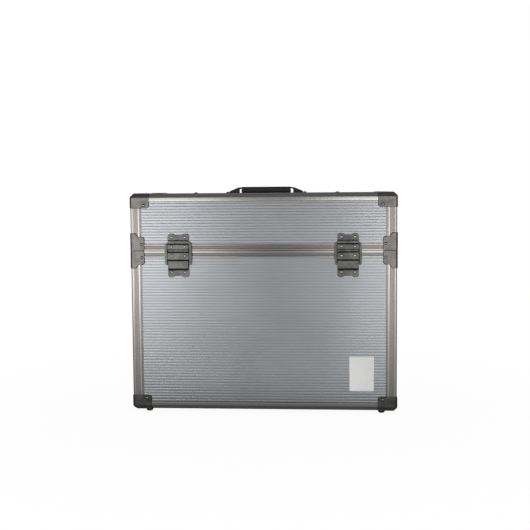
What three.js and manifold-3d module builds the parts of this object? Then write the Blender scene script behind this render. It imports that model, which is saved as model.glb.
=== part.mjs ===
// A carrying case: ribbed boards held in aluminium profiles, a lid on two rear hinges,
// two draw latches on the front and a strap handle on top.
// Millimetres, +Z up, the front faces -Y. The origin is on the floor under the middle.

import * as THREE from 'three';
import { mergeVertices } from 'three/addons/utils/BufferGeometryUtils.js';
import Module from 'manifold-3d';

const wasm = await Module();
wasm.setup();

// Overall sizes, measured over the outer faces of the profiles
const caseWidth = 540;
const caseDepth = 230;
const caseHeight = 443;
const lidHeight = 116;

// Clearances
const seatGap = 0.3;      // between two pieces that rest on each other
const cutOverrun = 5;     // how far a cutting shape runs past what it cuts

// Boards, and how the profiles hold them
const boardThickness = 5;
const boardRecess = 1.6;  // a board's face lies this far behind the faces of the profiles
const profileCore = 9;    // the solid corner of a profile, where the boards stop
const lipThickness = 1.4; // the inner lip behind a board
const lipSetback = 3;     // the inner lip ends this far before the outer leg

// Profiles along the top and bottom edges
const edgeFace = 17.6;
const edgeChamfer = 7.2;

// Upright profiles in the corners, with two raised bands on each face
const postFace = 22.5;
const postRadius = 3;
const postOuterBand = 6.5;
const postInnerBandStart = 15;
const postInnerBandEnd = 19.5;
const bandDepth = 0.8;
const bandRamp = 0.8;
const bandEdgeDepth = 1.1;

// Rim profiles on both sides of the seam
const lidRimHeight = 13.2;
const bodyRimHeight = 14.2;
const rimWeb = 5;         // from the seam to the bottom of the board slot
const rimBand = 3.2;
const seamGap = 0.6;
const tongueThickness = 1.4;
const tongueHeight = 4.5;
const tongueGap = 0.6;

// Sheet metal corner caps
const capWidth = 38;
const capHeight = 29;
const capSheet = 0.9;
const capCornerRadius = 6;

// Sheet metal guides that wrap the front corners at the seam
const guideWidth = 27.5;
const guideHeight = 35.5;
const guideShoulder = 27.5;
const guideFlat = 9;
const guideSlopeEnd = 16;
const guideCornerRadius = 3;
const guideSheet = 1.1;
const upperGuideGap = 0.4;
const lowerGuideGap = 0.5;

// Rubber feet, each under a corner cap
const footHeight = 7;
const footTopRadius = 7.4;
const footTipRadius = 5.8;
const footFromSide = 28;
const footFromFront = 20;

// Linings
const liningThickness = 6;
const lidLiningSetback = 7;
const bodyLiningSetback = 11;

// Blank plate on the front
const plateWidth = 50;
const plateHeight = 72;
const plateThickness = 1;
const plateRadius = 2;
const plateFromSide = 71;     // its middle from the right side
const plateFromFloor = 76;    // its middle over the bottom edge

// Draw latches. Heights are measured from the seam, depths outwards from the profile faces.
const latchFromSide = 98;
const latchWidth = 43;
const latchSheet = 1.6;
const latchPadFace = 2.2;
const latchBlockFace = 5.6;
const lugWidth = 14;
const lugRadius = 5;
const lugRise = 3;
const keeperLow = 2.8;
const keeperHigh = 34.6;
const keeperShelf = 14.6;
const keeperPadLow = 21.4;
const keeperBevelDepth = 2;
const keeperBevelHeight = 2.4;
const baseHigh = 4;
const baseBlockLow = 17.8;
const basePadHigh = 39.6;
const baseLow = 54;
const pinRadius = 1;
const pinGap = 0.3;
const knuckleRadius = 2.2;
const knuckleWidth = 20;
const leverPivotDepth = 2.9;
const leverPivotDrop = 22.5;
const linkPivotDrop = 26.5;
const leverWidth = 41;
const leverHigh = 20.6;
const leverLow = 36.2;
const leverSheet = 1.6;
const leverLipHeight = 2.2;
const leverFlange = 2;
const leverFlangeInset = 1;
const leverEarRadius = 2.3;
const linkThickness = 3.6;
const linkBarHeight = 4.8;
const linkWindow = 44.4;
const linkNeck = 2.2;
const linkBulge = 5.4;
const linkShoulder = 5.5;
const linkFoot = 3;
const linkTaperShare = 0.85;   // of the arms' bulge, where they narrow at both ends
const linkBackGap = 0.45;

// Rear hinges
const hingeFromSide = 100;
const hingeWidth = 54;
const hingeLeafHeight = 30;
const hingeSheet = 1.5;
const hingeBarrelRadius = 3.35;
const hingePinRadius = 1.5;
const hingeLeafStart = 4.4;

// Strap handle
const handleLength = 158;     // over the two end housings, without their tabs
const handleWidth = 28;
const housingLength = 21;
const housingHigh = 14.6;     // heights above the lid's board
const housingLow = 4.8;
const housingWall = 1.3;
const tabLength = 7;
const tabThickness = 2;
const tabWidth = 20;
const strapWidth = 23;
const strapThickness = 1.6;
const gripEndGap = 6;         // from the grip's ends to the housings
const gripRadius = 4.5;
const gripFloorGap = 0.8;

// Counts
const roundSteps = 16;
const arcSteps = 4;
const innerLugPoints = 3;      // points of the arc on a lug's inner side

// Places that follow from the sizes
const halfWidth = caseWidth / 2;
const halfDepth = caseDepth / 2;
const bottomZ = footHeight;
const topZ = bottomZ + caseHeight;
const seamZ = topZ - lidHeight;
const slotFront = boardRecess - seatGap;
const slotBack = boardRecess + boardThickness + seatGap;
const lipBack = slotBack + lipThickness;
const boardEdge = profileCore + seatGap;
const hingeAxisOut = seatGap + hingeBarrelRadius;
const leverBack = leverPivotDepth + knuckleRadius + pinGap;
const leverFront = leverBack + leverSheet;
const latchFront = leverFront;
const hingeRear = hingeAxisOut + hingeBarrelRadius;

// Materials, one for each kind of surface
function paint(color, roughness, metalness) {
  return new THREE.MeshStandardMaterial({ color, roughness, metalness });
}

const ribbedSheet = paint(0x8d9297, 0.35, 0.9);
const anodised = paint(0xa8a29d, 0.4, 0.9);
const darkSteel = paint(0x3b3d3c, 0.45, 0.7);
const latchMetal = paint(0x85867f, 0.4, 0.8);
const hingeSteel = paint(0x9a9b98, 0.4, 0.9);
const blackRubber = paint(0x1c1c1c, 0.8, 0);
const gripRubber = paint(0x262624, 0.65, 0);
const foam = paint(0x2a2b2d, 0.95, 0);
const plateMetal = paint(0xcfcfcf, 0.3, 0.9);

// Solids
function signedVolume(geometry) {
  const at = geometry.getAttribute('position');
  const index = geometry.getIndex();
  const [a, b, c] = [new THREE.Vector3(), new THREE.Vector3(), new THREE.Vector3()];
  let total = 0;
  for (let i = 0; i < index.count; i += 3) {
    a.fromBufferAttribute(at, index.getX(i));
    b.fromBufferAttribute(at, index.getX(i + 1));
    c.fromBufferAttribute(at, index.getX(i + 2));
    total += a.dot(b.cross(c));
  }
  return total / 6;
}

function solidOf(geometry) {
  geometry.deleteAttribute('normal');
  geometry.deleteAttribute('uv');
  const merged = mergeVertices(geometry);
  const triangles = Uint32Array.from(merged.getIndex().array);
  if (signedVolume(merged) < 0) {
    triangles.reverse();
  }
  const vertProperties = Float32Array.from(merged.getAttribute('position').array);
  return new wasm.Manifold(new wasm.Mesh({ numProp: 3, vertProperties, triVerts: triangles }));
}

function geometryOf(solid) {
  const { vertProperties, triVerts } = solid.getMesh();
  const geometry = new THREE.BufferGeometry();
  geometry.setAttribute('position', new THREE.BufferAttribute(vertProperties, 3));
  geometry.setIndex(new THREE.BufferAttribute(triVerts, 1));
  geometry.computeVertexNormals();
  return geometry;
}

function shapeOf(points) {
  return new THREE.Shape(points.map(([x, y]) => new THREE.Vector2(x, y)));
}

function extruded(shape, depth) {
  return new THREE.ExtrudeGeometry(shape, { depth, bevelEnabled: false, curveSegments: arcSteps });
}

// An outline in (y, z), pushed from x0 to x1
function alongX(shape, x0, x1) {
  const turn = new THREE.Matrix4().makeBasis(
    new THREE.Vector3(0, 1, 0), new THREE.Vector3(0, 0, 1), new THREE.Vector3(1, 0, 0));
  return solidOf(extruded(shape, x1 - x0).applyMatrix4(turn).translate(x0, 0, 0));
}

// An outline in (x, z), pushed from y0 to y1
function alongY(shape, y0, y1) {
  return solidOf(extruded(shape, y1 - y0).rotateX(Math.PI / 2).translate(0, y1, 0));
}

// An outline in (x, y), pushed from z0 to z1
function alongZ(shape, z0, z1) {
  return solidOf(extruded(shape, z1 - z0).translate(0, 0, z0));
}

function box(x0, x1, y0, y1, z0, z1) {
  const geometry = new THREE.BoxGeometry(x1 - x0, y1 - y0, z1 - z0);
  return solidOf(geometry.translate((x0 + x1) / 2, (y0 + y1) / 2, (z0 + z1) / 2));
}

// A round bar along X
function barX(radius, x0, x1, y, z) {
  const geometry = new THREE.CylinderGeometry(radius, radius, x1 - x0, roundSteps);
  return solidOf(geometry.rotateZ(Math.PI / 2).translate((x0 + x1) / 2, y, z));
}

// Points of an arc about a centre, from one angle to another
function arc(cx, cy, radius, from, to, steps = arcSteps) {
  return Array.from({ length: steps + 1 }, (_, i) => {
    const angle = from + ((to - from) * i) / steps;
    return [cx + radius * Math.cos(angle), cy + radius * Math.sin(angle)];
  });
}

function roundedRectangle(x0, x1, y0, y1, radius) {
  const quarter = Math.PI / 2;
  return shapeOf([
    ...arc(x1 - radius, y1 - radius, radius, 0, quarter),
    ...arc(x0 + radius, y1 - radius, radius, quarter, 2 * quarter),
    ...arc(x0 + radius, y0 + radius, radius, 2 * quarter, 3 * quarter),
    ...arc(x1 - radius, y0 + radius, radius, 3 * quarter, 4 * quarter),
  ]);
}

// The case's outline seen from above, grown outwards by some distance
function planOutline(grown) {
  const [x, y] = [halfWidth + grown, halfDepth + grown];
  return roundedRectangle(-x, x, -y, y, postRadius + grown);
}

// A four-sided frame around the case: a profile in (inset, height), mitred in the corners.
// It is turned in four steps as a square, then its sides are moved out to the case's width.
function frameRing(profile) {
  const closed = [...profile, profile[0]];
  const points = closed.map(([inset, z]) => new THREE.Vector2(Math.SQRT2 * (halfDepth - inset), z));
  const geometry = new THREE.LatheGeometry(points, 4, Math.PI / 4).rotateX(Math.PI / 2);
  const at = geometry.getAttribute('position');
  for (let i = 0; i < at.count; i += 1) {
    at.setX(i, at.getX(i) + Math.sign(at.getX(i)) * (halfWidth - halfDepth));
  }
  const heights = profile.map(([, z]) => z);
  const low = Math.min(...heights) - cutOverrun;
  const high = Math.max(...heights) + cutOverrun;
  return solidOf(geometry).intersect(alongZ(planOutline(0), low, high));
}

// The scene
const model = new THREE.Group();
const body = new THREE.Group();
const lid = new THREE.Group();
const latches = new THREE.Group();
const handle = new THREE.Group();
model.add(body, lid, latches, handle);
model.position.y = (latchFront - hingeRear) / 2;

function add(group, name, solid, material) {
  const mesh = new THREE.Mesh(geometryOf(solid), material);
  mesh.name = name;
  group.add(mesh);
}

const sides = [['left', -1], ['right', 1]];
const corners = [
  ['front_left', -1, -1], ['front_right', 1, -1], ['rear_left', -1, 1], ['rear_right', 1, 1],
];

// Boards: each lies behind the profile faces, with its edges in the slots
function addBoards(group, prefix, low, high) {
  const [x, y] = [halfWidth - boardEdge, halfDepth - boardEdge];
  const outer = boardRecess;
  const inner = boardRecess + boardThickness;
  const [dx, dy] = [halfWidth, halfDepth];
  add(group, `${prefix}_front_board`, box(-x, x, -dy + outer, -dy + inner, low, high), ribbedSheet);
  add(group, `${prefix}_rear_board`, box(-x, x, dy - inner, dy - outer, low, high), ribbedSheet);
  add(group, `${prefix}_left_board`, box(-dx + outer, -dx + inner, -y, y, low, high), ribbedSheet);
  add(group, `${prefix}_right_board`, box(dx - inner, dx - outer, -y, y, low, high), ribbedSheet);
}

function addFlatBoard(group, name, outerZ, innerZ) {
  const [x, y] = [halfWidth - boardEdge, halfDepth - boardEdge];
  const [low, high] = [Math.min(outerZ, innerZ), Math.max(outerZ, innerZ)];
  add(group, name, box(-x, x, -y, y, low, high), ribbedSheet);
}

// An edge profile with a bevelled outer corner and a slot for each of its two boards.
// up is 1 for the lid's top edge and -1 for the bottom edge.
function edgeProfile(faceZ, up) {
  const z = (depth) => faceZ - up * depth;
  return [
    [0, z(edgeFace)],
    [0, z(edgeChamfer)],
    [edgeChamfer, z(0)],
    [edgeFace, z(0)],
    [edgeFace, z(slotFront)],
    [profileCore, z(slotFront)],
    [profileCore, z(slotBack)],
    [edgeFace - lipSetback, z(slotBack)],
    [edgeFace - lipSetback, z(lipBack)],
    [lipBack, z(lipBack)],
    [lipBack, z(edgeFace - lipSetback)],
    [slotBack, z(edgeFace - lipSetback)],
    [slotBack, z(profileCore)],
    [slotFront, z(profileCore)],
    [slotFront, z(edgeFace)],
  ];
}

// A rim profile, from the seam face outwards. away is 1 on the lid and -1 on the body.
function rimProfile(height, away, tongue) {
  const z = (distance) => seamZ + away * distance;
  const face = seamGap / 2;
  const outerFace = [
    [0, z(face)],
    [0, z(rimBand)],
    [bandDepth, z(rimBand + bandRamp)],
    [bandDepth, z(height - rimBand - bandRamp)],
    [0, z(height - rimBand)],
    [0, z(height)],
  ];
  const slot = [
    [slotFront, z(height)],
    [slotFront, z(rimWeb)],
    [slotBack, z(rimWeb)],
    [slotBack, z(height - lipSetback)],
    [lipBack, z(height - lipSetback)],
  ];
  if (!tongue) {
    return [...outerFace, ...slot, [lipBack, z(face)]];
  }
  const front = lipBack + tongueGap;
  const back = front + tongueThickness;
  return [
    ...outerFace,
    ...slot,
    [lipBack, z(rimWeb + tongueThickness)],
    [back, z(rimWeb + tongueThickness)],
    [back, z(-tongueHeight)],
    [front, z(-tongueHeight)],
    [front, z(face)],
  ];
}

// One face of an upright profile, as (distance from the corner, depth)
function postFaceLine() {
  return [
    [postOuterBand, 0],
    [postOuterBand + bandRamp, bandDepth],
    [postInnerBandStart - bandRamp, bandDepth],
    [postInnerBandStart, 0],
    [postInnerBandEnd, 0],
    [postInnerBandEnd + bandRamp, bandEdgeDepth],
    [postFace, bandEdgeDepth],
    [postFace, slotFront],
    [profileCore, slotFront],
  ];
}

// An upright profile seen from above, in (inset from the side, inset from the front)
function postOutline(sx, sy) {
  const face = postFaceLine();
  const corner = arc(postRadius, postRadius, postRadius, Math.PI, 1.5 * Math.PI);
  const lip = [
    [profileCore, slotBack],
    [postFace - lipSetback, slotBack],
    [postFace - lipSetback, lipBack],
  ];
  const flip = ([a, b]) => [b, a];
  const points = [
    ...face.map(flip).reverse(),
    ...corner,
    ...face,
    ...lip,
    [lipBack, lipBack],
    ...lip.map(flip).reverse(),
  ];
  return shapeOf(points.map(([u, w]) => [sx * (halfWidth - u), sy * (halfDepth - w)]));
}

function addPosts(group, prefix, low, high) {
  for (const [corner, sx, sy] of corners) {
    add(group, `${prefix}_post_${corner}`, alongZ(postOutline(sx, sy), low, high), anodised);
  }
}

// The case's outer form, grown outwards by some distance, with its bevelled edges
function bevelledOutline(half, grown) {
  const side = half + grown;
  const [low, high] = [bottomZ - grown, topZ + grown];
  const bevel = edgeChamfer + grown * (2 - Math.SQRT2);
  return shapeOf([
    [side, low + bevel], [side, high - bevel], [side - bevel, high], [bevel - side, high],
    [-side, high - bevel], [-side, low + bevel], [bevel - side, low], [side - bevel, low],
  ]);
}

function outerForm(grown) {
  const [reachX, reachY] = [halfWidth + cutOverrun, halfDepth + cutOverrun];
  const front = alongY(bevelledOutline(halfWidth, grown), -reachY, reachY);
  const side = alongX(bevelledOutline(halfDepth, grown), -reachX, reachX);
  const plan = alongZ(planOutline(grown), bottomZ - cutOverrun, topZ + cutOverrun);
  return front.intersect(side).intersect(plan);
}

// A rectangle from the case's corner inwards, with its inner corner rounded
function capOutline(sideways, half, up, faceZ) {
  const near = half - capWidth;
  const far = half + cutOverrun;
  const deep = capHeight;
  const r = capCornerRadius;
  const points = [
    [far, -cutOverrun], [far, deep],
    ...arc(near + r, deep - r, r, Math.PI / 2, Math.PI),
    [near, -cutOverrun],
  ];
  return shapeOf(points.map(([x, depth]) => [sideways * x, faceZ - up * depth]));
}

function capPlanOutline(sx, sy) {
  const r = capCornerRadius;
  const [nearX, nearY] = [halfWidth - capWidth, halfDepth - capWidth];
  const [farX, farY] = [halfWidth + cutOverrun, halfDepth + cutOverrun];
  const points = [
    [farX, farY], [nearX, farY],
    ...arc(nearX + r, nearY + r, r, Math.PI, 1.5 * Math.PI),
    [farX, nearY],
  ];
  return shapeOf(points.map(([x, y]) => [sx * x, sy * y]));
}

const capShell = outerForm(seatGap + capSheet).subtract(outerForm(seatGap));

function addCaps(group, prefix, up) {
  const faceZ = up > 0 ? topZ : bottomZ;
  const [reachX, reachY] = [halfWidth + cutOverrun, halfDepth + cutOverrun];
  for (const [corner, sx, sy] of corners) {
    const front = alongY(capOutline(sx, halfWidth, up, faceZ), -reachY, reachY);
    const side = alongX(capOutline(sy, halfDepth, up, faceZ), -reachX, reachX);
    const plan = alongZ(capPlanOutline(sx, sy), bottomZ - cutOverrun, topZ + cutOverrun);
    const cap = capShell.intersect(front).intersect(side).intersect(plan);
    add(group, `${prefix}_cap_${corner}`, cap, darkSteel);
  }
}

// A guide's outline on one face, in (distance inwards from the corner, distance from the seam)
function guideOutline(sideways, half, away, gap) {
  const r = guideCornerRadius;
  const points = [
    [-cutOverrun, gap],
    [guideWidth, gap],
    ...arc(guideWidth - r, guideShoulder - r, r, 0, Math.PI / 2),
    [guideSlopeEnd, guideShoulder],
    [guideFlat, guideHeight],
    [-cutOverrun, guideHeight],
  ];
  return shapeOf(points.map(([inset, z]) => [sideways * (half - inset), seamZ + away * z]));
}

function addGuides(group, prefix, away, gap) {
  const [low, high] = [seamZ - guideHeight - cutOverrun, seamZ + guideHeight + cutOverrun];
  const outer = alongZ(planOutline(seatGap + guideSheet), low, high);
  const shell = outer.subtract(alongZ(planOutline(seatGap), low, high));
  for (const [side, sx] of sides) {
    const front = alongY(guideOutline(sx, halfWidth, away, gap), -halfDepth - cutOverrun, 0);
    const cheek = alongX(guideOutline(-1, halfDepth, away, gap), -halfWidth - cutOverrun,
      halfWidth + cutOverrun);
    add(group, `${prefix}_guide_${side}`, shell.intersect(front).intersect(cheek), darkSteel);
  }
}

function addFeet() {
  const top = bottomZ - capSheet - 2 * seatGap;
  for (const [corner, sx, sy] of corners) {
    const geometry = new THREE.CylinderGeometry(footTopRadius, footTipRadius, top, roundSteps);
    geometry.rotateX(Math.PI / 2);
    const [x, y] = [sx * (halfWidth - footFromSide), sy * (halfDepth - footFromFront)];
    add(body, `foot_${corner}`, solidOf(geometry.translate(x, y, top / 2)), blackRubber);
  }
}

// A lining is a tray that stands just inside the profiles' lips
function addLining(group, name, floorZ, mouthZ, up) {
  const inset = lipBack + seatGap;
  const [x, y] = [halfWidth - inset, halfDepth - inset];
  const wall = liningThickness;
  const innerFloor = floorZ + up * wall;
  const past = mouthZ + up * cutOverrun;
  const outer = box(-x, x, -y, y, Math.min(floorZ, mouthZ), Math.max(floorZ, mouthZ));
  const hollow = box(wall - x, x - wall, wall - y, y - wall, Math.min(innerFloor, past),
    Math.max(innerFloor, past));
  add(group, name, outer.subtract(hollow), foam);
}

function addPlate() {
  const centreX = halfWidth - plateFromSide;
  const centreZ = bottomZ + plateFromFloor;
  const [x0, x1] = [centreX - plateWidth / 2, centreX + plateWidth / 2];
  const outline = roundedRectangle(x0, x1, centreZ - plateHeight / 2, centreZ + plateHeight / 2,
    plateRadius);
  const back = -halfDepth + boardRecess - seatGap;
  add(body, 'front_plate', alongY(outline, back - plateThickness, back), plateMetal);
}

// Depths outwards from the front face become y
const frontY = (depth) => -halfDepth - depth;

// Two rounded lugs at the end of a latch plate. end is the plate's far edge, towards is 1 or -1.
function lugOutline(centreX, near, end, towards) {
  const half = latchWidth / 2;
  const step = end - towards * lugRise;
  const z = (distance) => end - towards * distance;
  const r = lugRadius;
  const rounded = (cx, from, to) => arc(cx, 0, r, from, to)
    .map(([x, up]) => [x, z(r) + towards * up]);
  const quarter = Math.PI / 2;
  return shapeOf([
    [centreX + half, near],
    ...rounded(centreX + half - r, 0, quarter),
    ...rounded(centreX + half - lugWidth + r, quarter, 2 * quarter).slice(0, innerLugPoints),
    [centreX + half - lugWidth, step],
    [centreX - half + lugWidth, step],
    ...rounded(centreX - half + lugWidth - r, 0, quarter).slice(-innerLugPoints),
    ...rounded(centreX - half + r, quarter, 2 * quarter),
    [centreX - half, near],
  ]);
}

// The keeper on the lid: a riveted pad above and a hook block below, with a shelf for the link
function keeperSolid(centreX) {
  const half = latchWidth / 2;
  const z = (height) => seamZ + height;
  const padBack = seatGap - boardRecess;
  const neck = leverPivotDepth - linkThickness / 2 - linkBackGap;
  const profile = [
    [seatGap, keeperLow],
    [latchBlockFace, keeperLow],
    [latchBlockFace, keeperShelf - keeperBevelHeight],
    [latchBlockFace - keeperBevelDepth, keeperShelf],
    [neck, keeperShelf],
    [neck, keeperPadLow],
    [latchPadFace, keeperPadLow],
    [latchPadFace, keeperHigh],
    [padBack, keeperHigh],
    [padBack, lidRimHeight + seatGap],
    [seatGap, lidRimHeight + seatGap],
  ];
  const shape = shapeOf(profile.map(([depth, height]) => [frontY(depth), z(height)]));
  const outline = lugOutline(centreX, z(0), z(keeperHigh), 1);
  const bar = alongX(shape, centreX - half, centreX + half);
  return bar.intersect(alongY(outline, frontY(latchBlockFace + cutOverrun), 0));
}

// The base on the body: a block on the rim, a recess with the lever's knuckle, and a lower pad
function baseSolid(centreX) {
  const half = latchWidth / 2;
  const z = (drop) => seamZ - drop;
  const padBack = seatGap - boardRecess;
  const recess = padBack + latchSheet;
  const profile = [
    [seatGap, baseHigh],
    [latchBlockFace, baseHigh],
    [latchBlockFace, baseBlockLow],
    [recess, baseBlockLow],
    [recess, basePadHigh],
    [latchPadFace, basePadHigh],
    [latchPadFace, baseLow],
    [padBack, baseLow],
    [padBack, bodyRimHeight + seatGap],
    [seatGap, bodyRimHeight + seatGap],
  ];
  const shape = shapeOf(profile.map(([depth, drop]) => [frontY(depth), z(drop)]));
  const outline = lugOutline(centreX, z(0), z(baseLow), -1);
  const plate = alongX(shape, centreX - half, centreX + half)
    .intersect(alongY(outline, frontY(latchBlockFace + cutOverrun), 0));
  const [x0, x1] = [centreX - knuckleWidth / 2, centreX + knuckleWidth / 2];
  const [pivotY, pivotZ] = [frontY(leverPivotDepth), z(leverPivotDrop)];
  const stem = box(x0, x1, pivotY, frontY(padBack), pivotZ - knuckleRadius, pivotZ + knuckleRadius);
  const bore = barX(pinRadius + pinGap, x0 - cutOverrun, x1 + cutOverrun, pivotY, pivotZ);
  return plate.add(barX(knuckleRadius, x0, x1, pivotY, pivotZ)).add(stem).subtract(bore);
}

// The lever: a front plate with a finger lip, and two flanges that carry both pivots
function leverSolid(centreX) {
  const half = leverWidth / 2;
  const z = (drop) => seamZ - drop;
  const profile = shapeOf([
    [frontY(leverBack), z(leverHigh)],
    [frontY(leverFront), z(leverHigh)],
    [frontY(leverFront), z(leverLow)],
    [frontY(leverBack - leverSheet), z(leverLow)],
    [frontY(leverBack - leverSheet), z(leverLow - leverLipHeight)],
    [frontY(leverBack), z(leverLow - leverLipHeight)],
  ]);
  let lever = alongX(profile, centreX - half, centreX + half);
  const pivotY = frontY(leverPivotDepth);
  const ear = leverEarRadius;
  const earLow = linkPivotDrop + ear;
  const joint = (leverBack + leverFront) / 2;
  for (const [, sx] of sides) {
    const outerX = centreX + sx * (half - leverFlangeInset);
    const innerX = outerX - sx * leverFlange;
    const [x0, x1] = [Math.min(outerX, innerX), Math.max(outerX, innerX)];
    const web = box(x0, x1, frontY(joint), pivotY, z(earLow), z(leverPivotDrop));
    const cheek = box(x0, x1, frontY(leverPivotDepth - ear), pivotY, z(linkPivotDrop),
      z(leverPivotDrop));
    lever = lever
      .add(web)
      .add(cheek)
      .add(barX(ear, x0, x1, pivotY, z(leverPivotDrop)))
      .add(barX(ear, x0, x1, pivotY, z(linkPivotDrop)));
  }
  const reach = half + cutOverrun;
  const bore = pinRadius + pinGap;
  return lever
    .subtract(barX(bore, centreX - reach, centreX + reach, pivotY, z(leverPivotDrop)))
    .subtract(barX(bore, centreX - reach, centreX + reach, pivotY, z(linkPivotDrop)));
}

// The link: a bar that hooks over the keeper's shelf, two bulging arms and two pivot studs
function linkSolid(centreX) {
  const z = (height) => seamZ + height;
  const inner = linkWindow / 2;
  const barLow = keeperShelf + seatGap;
  const barHigh = barLow + linkBarHeight;
  const foot = -linkPivotDrop - linkFoot;
  const shoulder = barHigh - linkShoulder;
  const middle = (shoulder - linkPivotDrop) / 2;
  const half = [
    [inner - linkNeck, barHigh],
    [inner + linkBulge * linkTaperShare, shoulder],
    [inner + linkBulge, middle + linkShoulder],
    [inner + linkBulge, middle - linkShoulder],
    [inner + linkBulge * linkTaperShare, -linkPivotDrop],
    [inner + linkNeck, foot],
    [inner, foot],
    [inner, barLow],
  ];
  const mirrored = half.map(([x, height]) => [-x, height]).reverse();
  const outline = [...half, ...mirrored].map(([x, height]) => [centreX + x, z(height)]);
  const back = frontY(leverPivotDepth - linkThickness / 2);
  let link = alongY(shapeOf(outline), back - linkThickness, back);
  const flangeInner = leverWidth / 2 - leverFlangeInset - leverFlange;
  for (const [, sx] of sides) {
    const [a, b] = [centreX + sx * flangeInner, centreX + sx * (inner + linkNeck)];
    const stud = barX(pinRadius, Math.min(a, b), Math.max(a, b), frontY(leverPivotDepth),
      z(-linkPivotDrop));
    link = link.add(stud);
  }
  return link;
}

function addLatches() {
  const pinHalf = leverWidth / 2 - leverFlangeInset;
  for (const [side, sx] of sides) {
    const x = sx * (halfWidth - latchFromSide);
    const pin = barX(pinRadius, x - pinHalf, x + pinHalf, frontY(leverPivotDepth),
      seamZ - leverPivotDrop);
    add(lid, `latch_keeper_${side}`, keeperSolid(x), latchMetal);
    add(body, `latch_base_${side}`, baseSolid(x), latchMetal);
    add(body, `latch_pin_${side}`, pin, hingeSteel);
    add(latches, `latch_lever_${side}`, leverSolid(x), latchMetal);
    add(latches, `latch_link_${side}`, linkSolid(x), latchMetal);
  }
}

// A hinge leaf: a plate on the rear face and knuckles in the given thirds of the hinge's width
function hingeLeaf(centreX, away, thirds) {
  const third = hingeWidth / 3;
  const [back, front] = [halfDepth + seatGap, halfDepth + seatGap + hingeSheet];
  const axisY = halfDepth + hingeAxisOut;
  const z = (distance) => seamZ + away * distance;
  const [near, far] = [z(hingeLeafStart), z(hingeLeafStart + hingeLeafHeight)];
  const start = centreX - hingeWidth / 2;
  let leaf = box(start, start + hingeWidth, back, front, Math.min(near, far), Math.max(near, far));
  for (const at of thirds) {
    const x0 = start + at * third + seatGap / 2;
    const x1 = x0 + third - seatGap;
    const tang = box(x0, x1, back, front, Math.min(near, seamZ), Math.max(near, seamZ));
    leaf = leaf.add(tang).add(barX(hingeBarrelRadius, x0, x1, axisY, seamZ));
  }
  return leaf;
}

function addHinges() {
  const axisY = halfDepth + hingeAxisOut;
  for (const [side, sx] of sides) {
    const x = sx * (halfWidth - hingeFromSide);
    const [x0, x1] = [x - hingeWidth / 2, x + hingeWidth / 2];
    const pin = barX(hingePinRadius, x0, x1, axisY, seamZ);
    const bore = barX(hingePinRadius + pinGap, x0, x1, axisY, seamZ);
    add(body, `hinge_body_leaf_${side}`, hingeLeaf(x, -1, [0, 2]).add(pin), hingeSteel);
    add(lid, `hinge_lid_leaf_${side}`, hingeLeaf(x, 1, [1]).subtract(bore), hingeSteel);
  }
}

// The handle stands on the lid's board. Its strap runs into the two housings under their roofs.
const handleFloor = topZ - boardRecess;

function housingSolid(sx) {
  const outerEnd = handleLength / 2;
  const mouth = outerEnd - housingLength;
  const z = (height) => handleFloor + height;
  const roof = shapeOf([
    [sx * outerEnd, z(seatGap)], [sx * outerEnd, z(housingLow)],
    [sx * mouth, z(housingHigh)], [sx * mouth, z(seatGap)],
  ]);
  const slope = (housingHigh - housingLow) / housingLength;
  const hollow = shapeOf([
    [sx * (outerEnd - housingWall), z(0)],
    [sx * (outerEnd - housingWall), z(housingLow + slope * housingWall - housingWall)],
    [sx * (mouth - cutOverrun), z(housingHigh + slope * cutOverrun - housingWall)],
    [sx * (mouth - cutOverrun), z(0)],
  ]);
  const half = handleWidth / 2;
  const inner = half - housingWall;
  const tab = [outerEnd - housingWall, outerEnd + tabLength].map((x) => sx * x);
  const tabSolid = box(Math.min(...tab), Math.max(...tab), -tabWidth / 2, tabWidth / 2,
    z(seatGap), z(seatGap + tabThickness));
  return alongY(roof, -half, half).subtract(alongY(hollow, -inner, inner)).add(tabSolid);
}

// The strap follows the roofs at both ends and runs level between the housings
function strapSolid() {
  const outerEnd = handleLength / 2;
  const mouth = outerEnd - housingLength;
  const slope = (housingHigh - housingLow) / housingLength;
  const under = housingWall + seatGap;
  const z = (height) => handleFloor + height;
  const tip = outerEnd - housingWall - seatGap;
  const tipTop = housingLow + slope * (outerEnd - tip) - under;
  const mouthTop = housingHigh - under;
  const half = [
    [mouth, z(mouthTop)],
    [tip, z(tipTop)],
    [tip, z(tipTop - strapThickness)],
    [mouth, z(mouthTop - strapThickness)],
  ];
  const mirrored = half.map(([x, height]) => [-x, height]).reverse();
  const width = strapWidth / 2;
  return alongY(shapeOf([...half, ...mirrored]), -width, width);
}

function gripSolid() {
  const top = handleFloor + housingHigh - housingWall - 2 * seatGap - strapThickness;
  const low = handleFloor + gripFloorGap;
  const half = handleWidth / 2;
  const quarter = Math.PI / 2;
  const r = gripRadius;
  const outline = shapeOf([
    [half, top],
    [-half, top],
    ...arc(r - half, low + r, r, 2 * quarter, 3 * quarter),
    ...arc(half - r, low + r, r, 3 * quarter, 4 * quarter),
  ]);
  const reach = handleLength / 2 - housingLength - gripEndGap;
  return alongX(outline, -reach, reach);
}

function addHandle() {
  for (const [side, sx] of sides) {
    add(lid, `handle_housing_${side}`, housingSolid(sx), blackRubber);
  }
  add(handle, 'handle_strap', strapSolid(), darkSteel);
  add(handle, 'handle_grip', gripSolid(), gripRubber);
}

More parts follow.
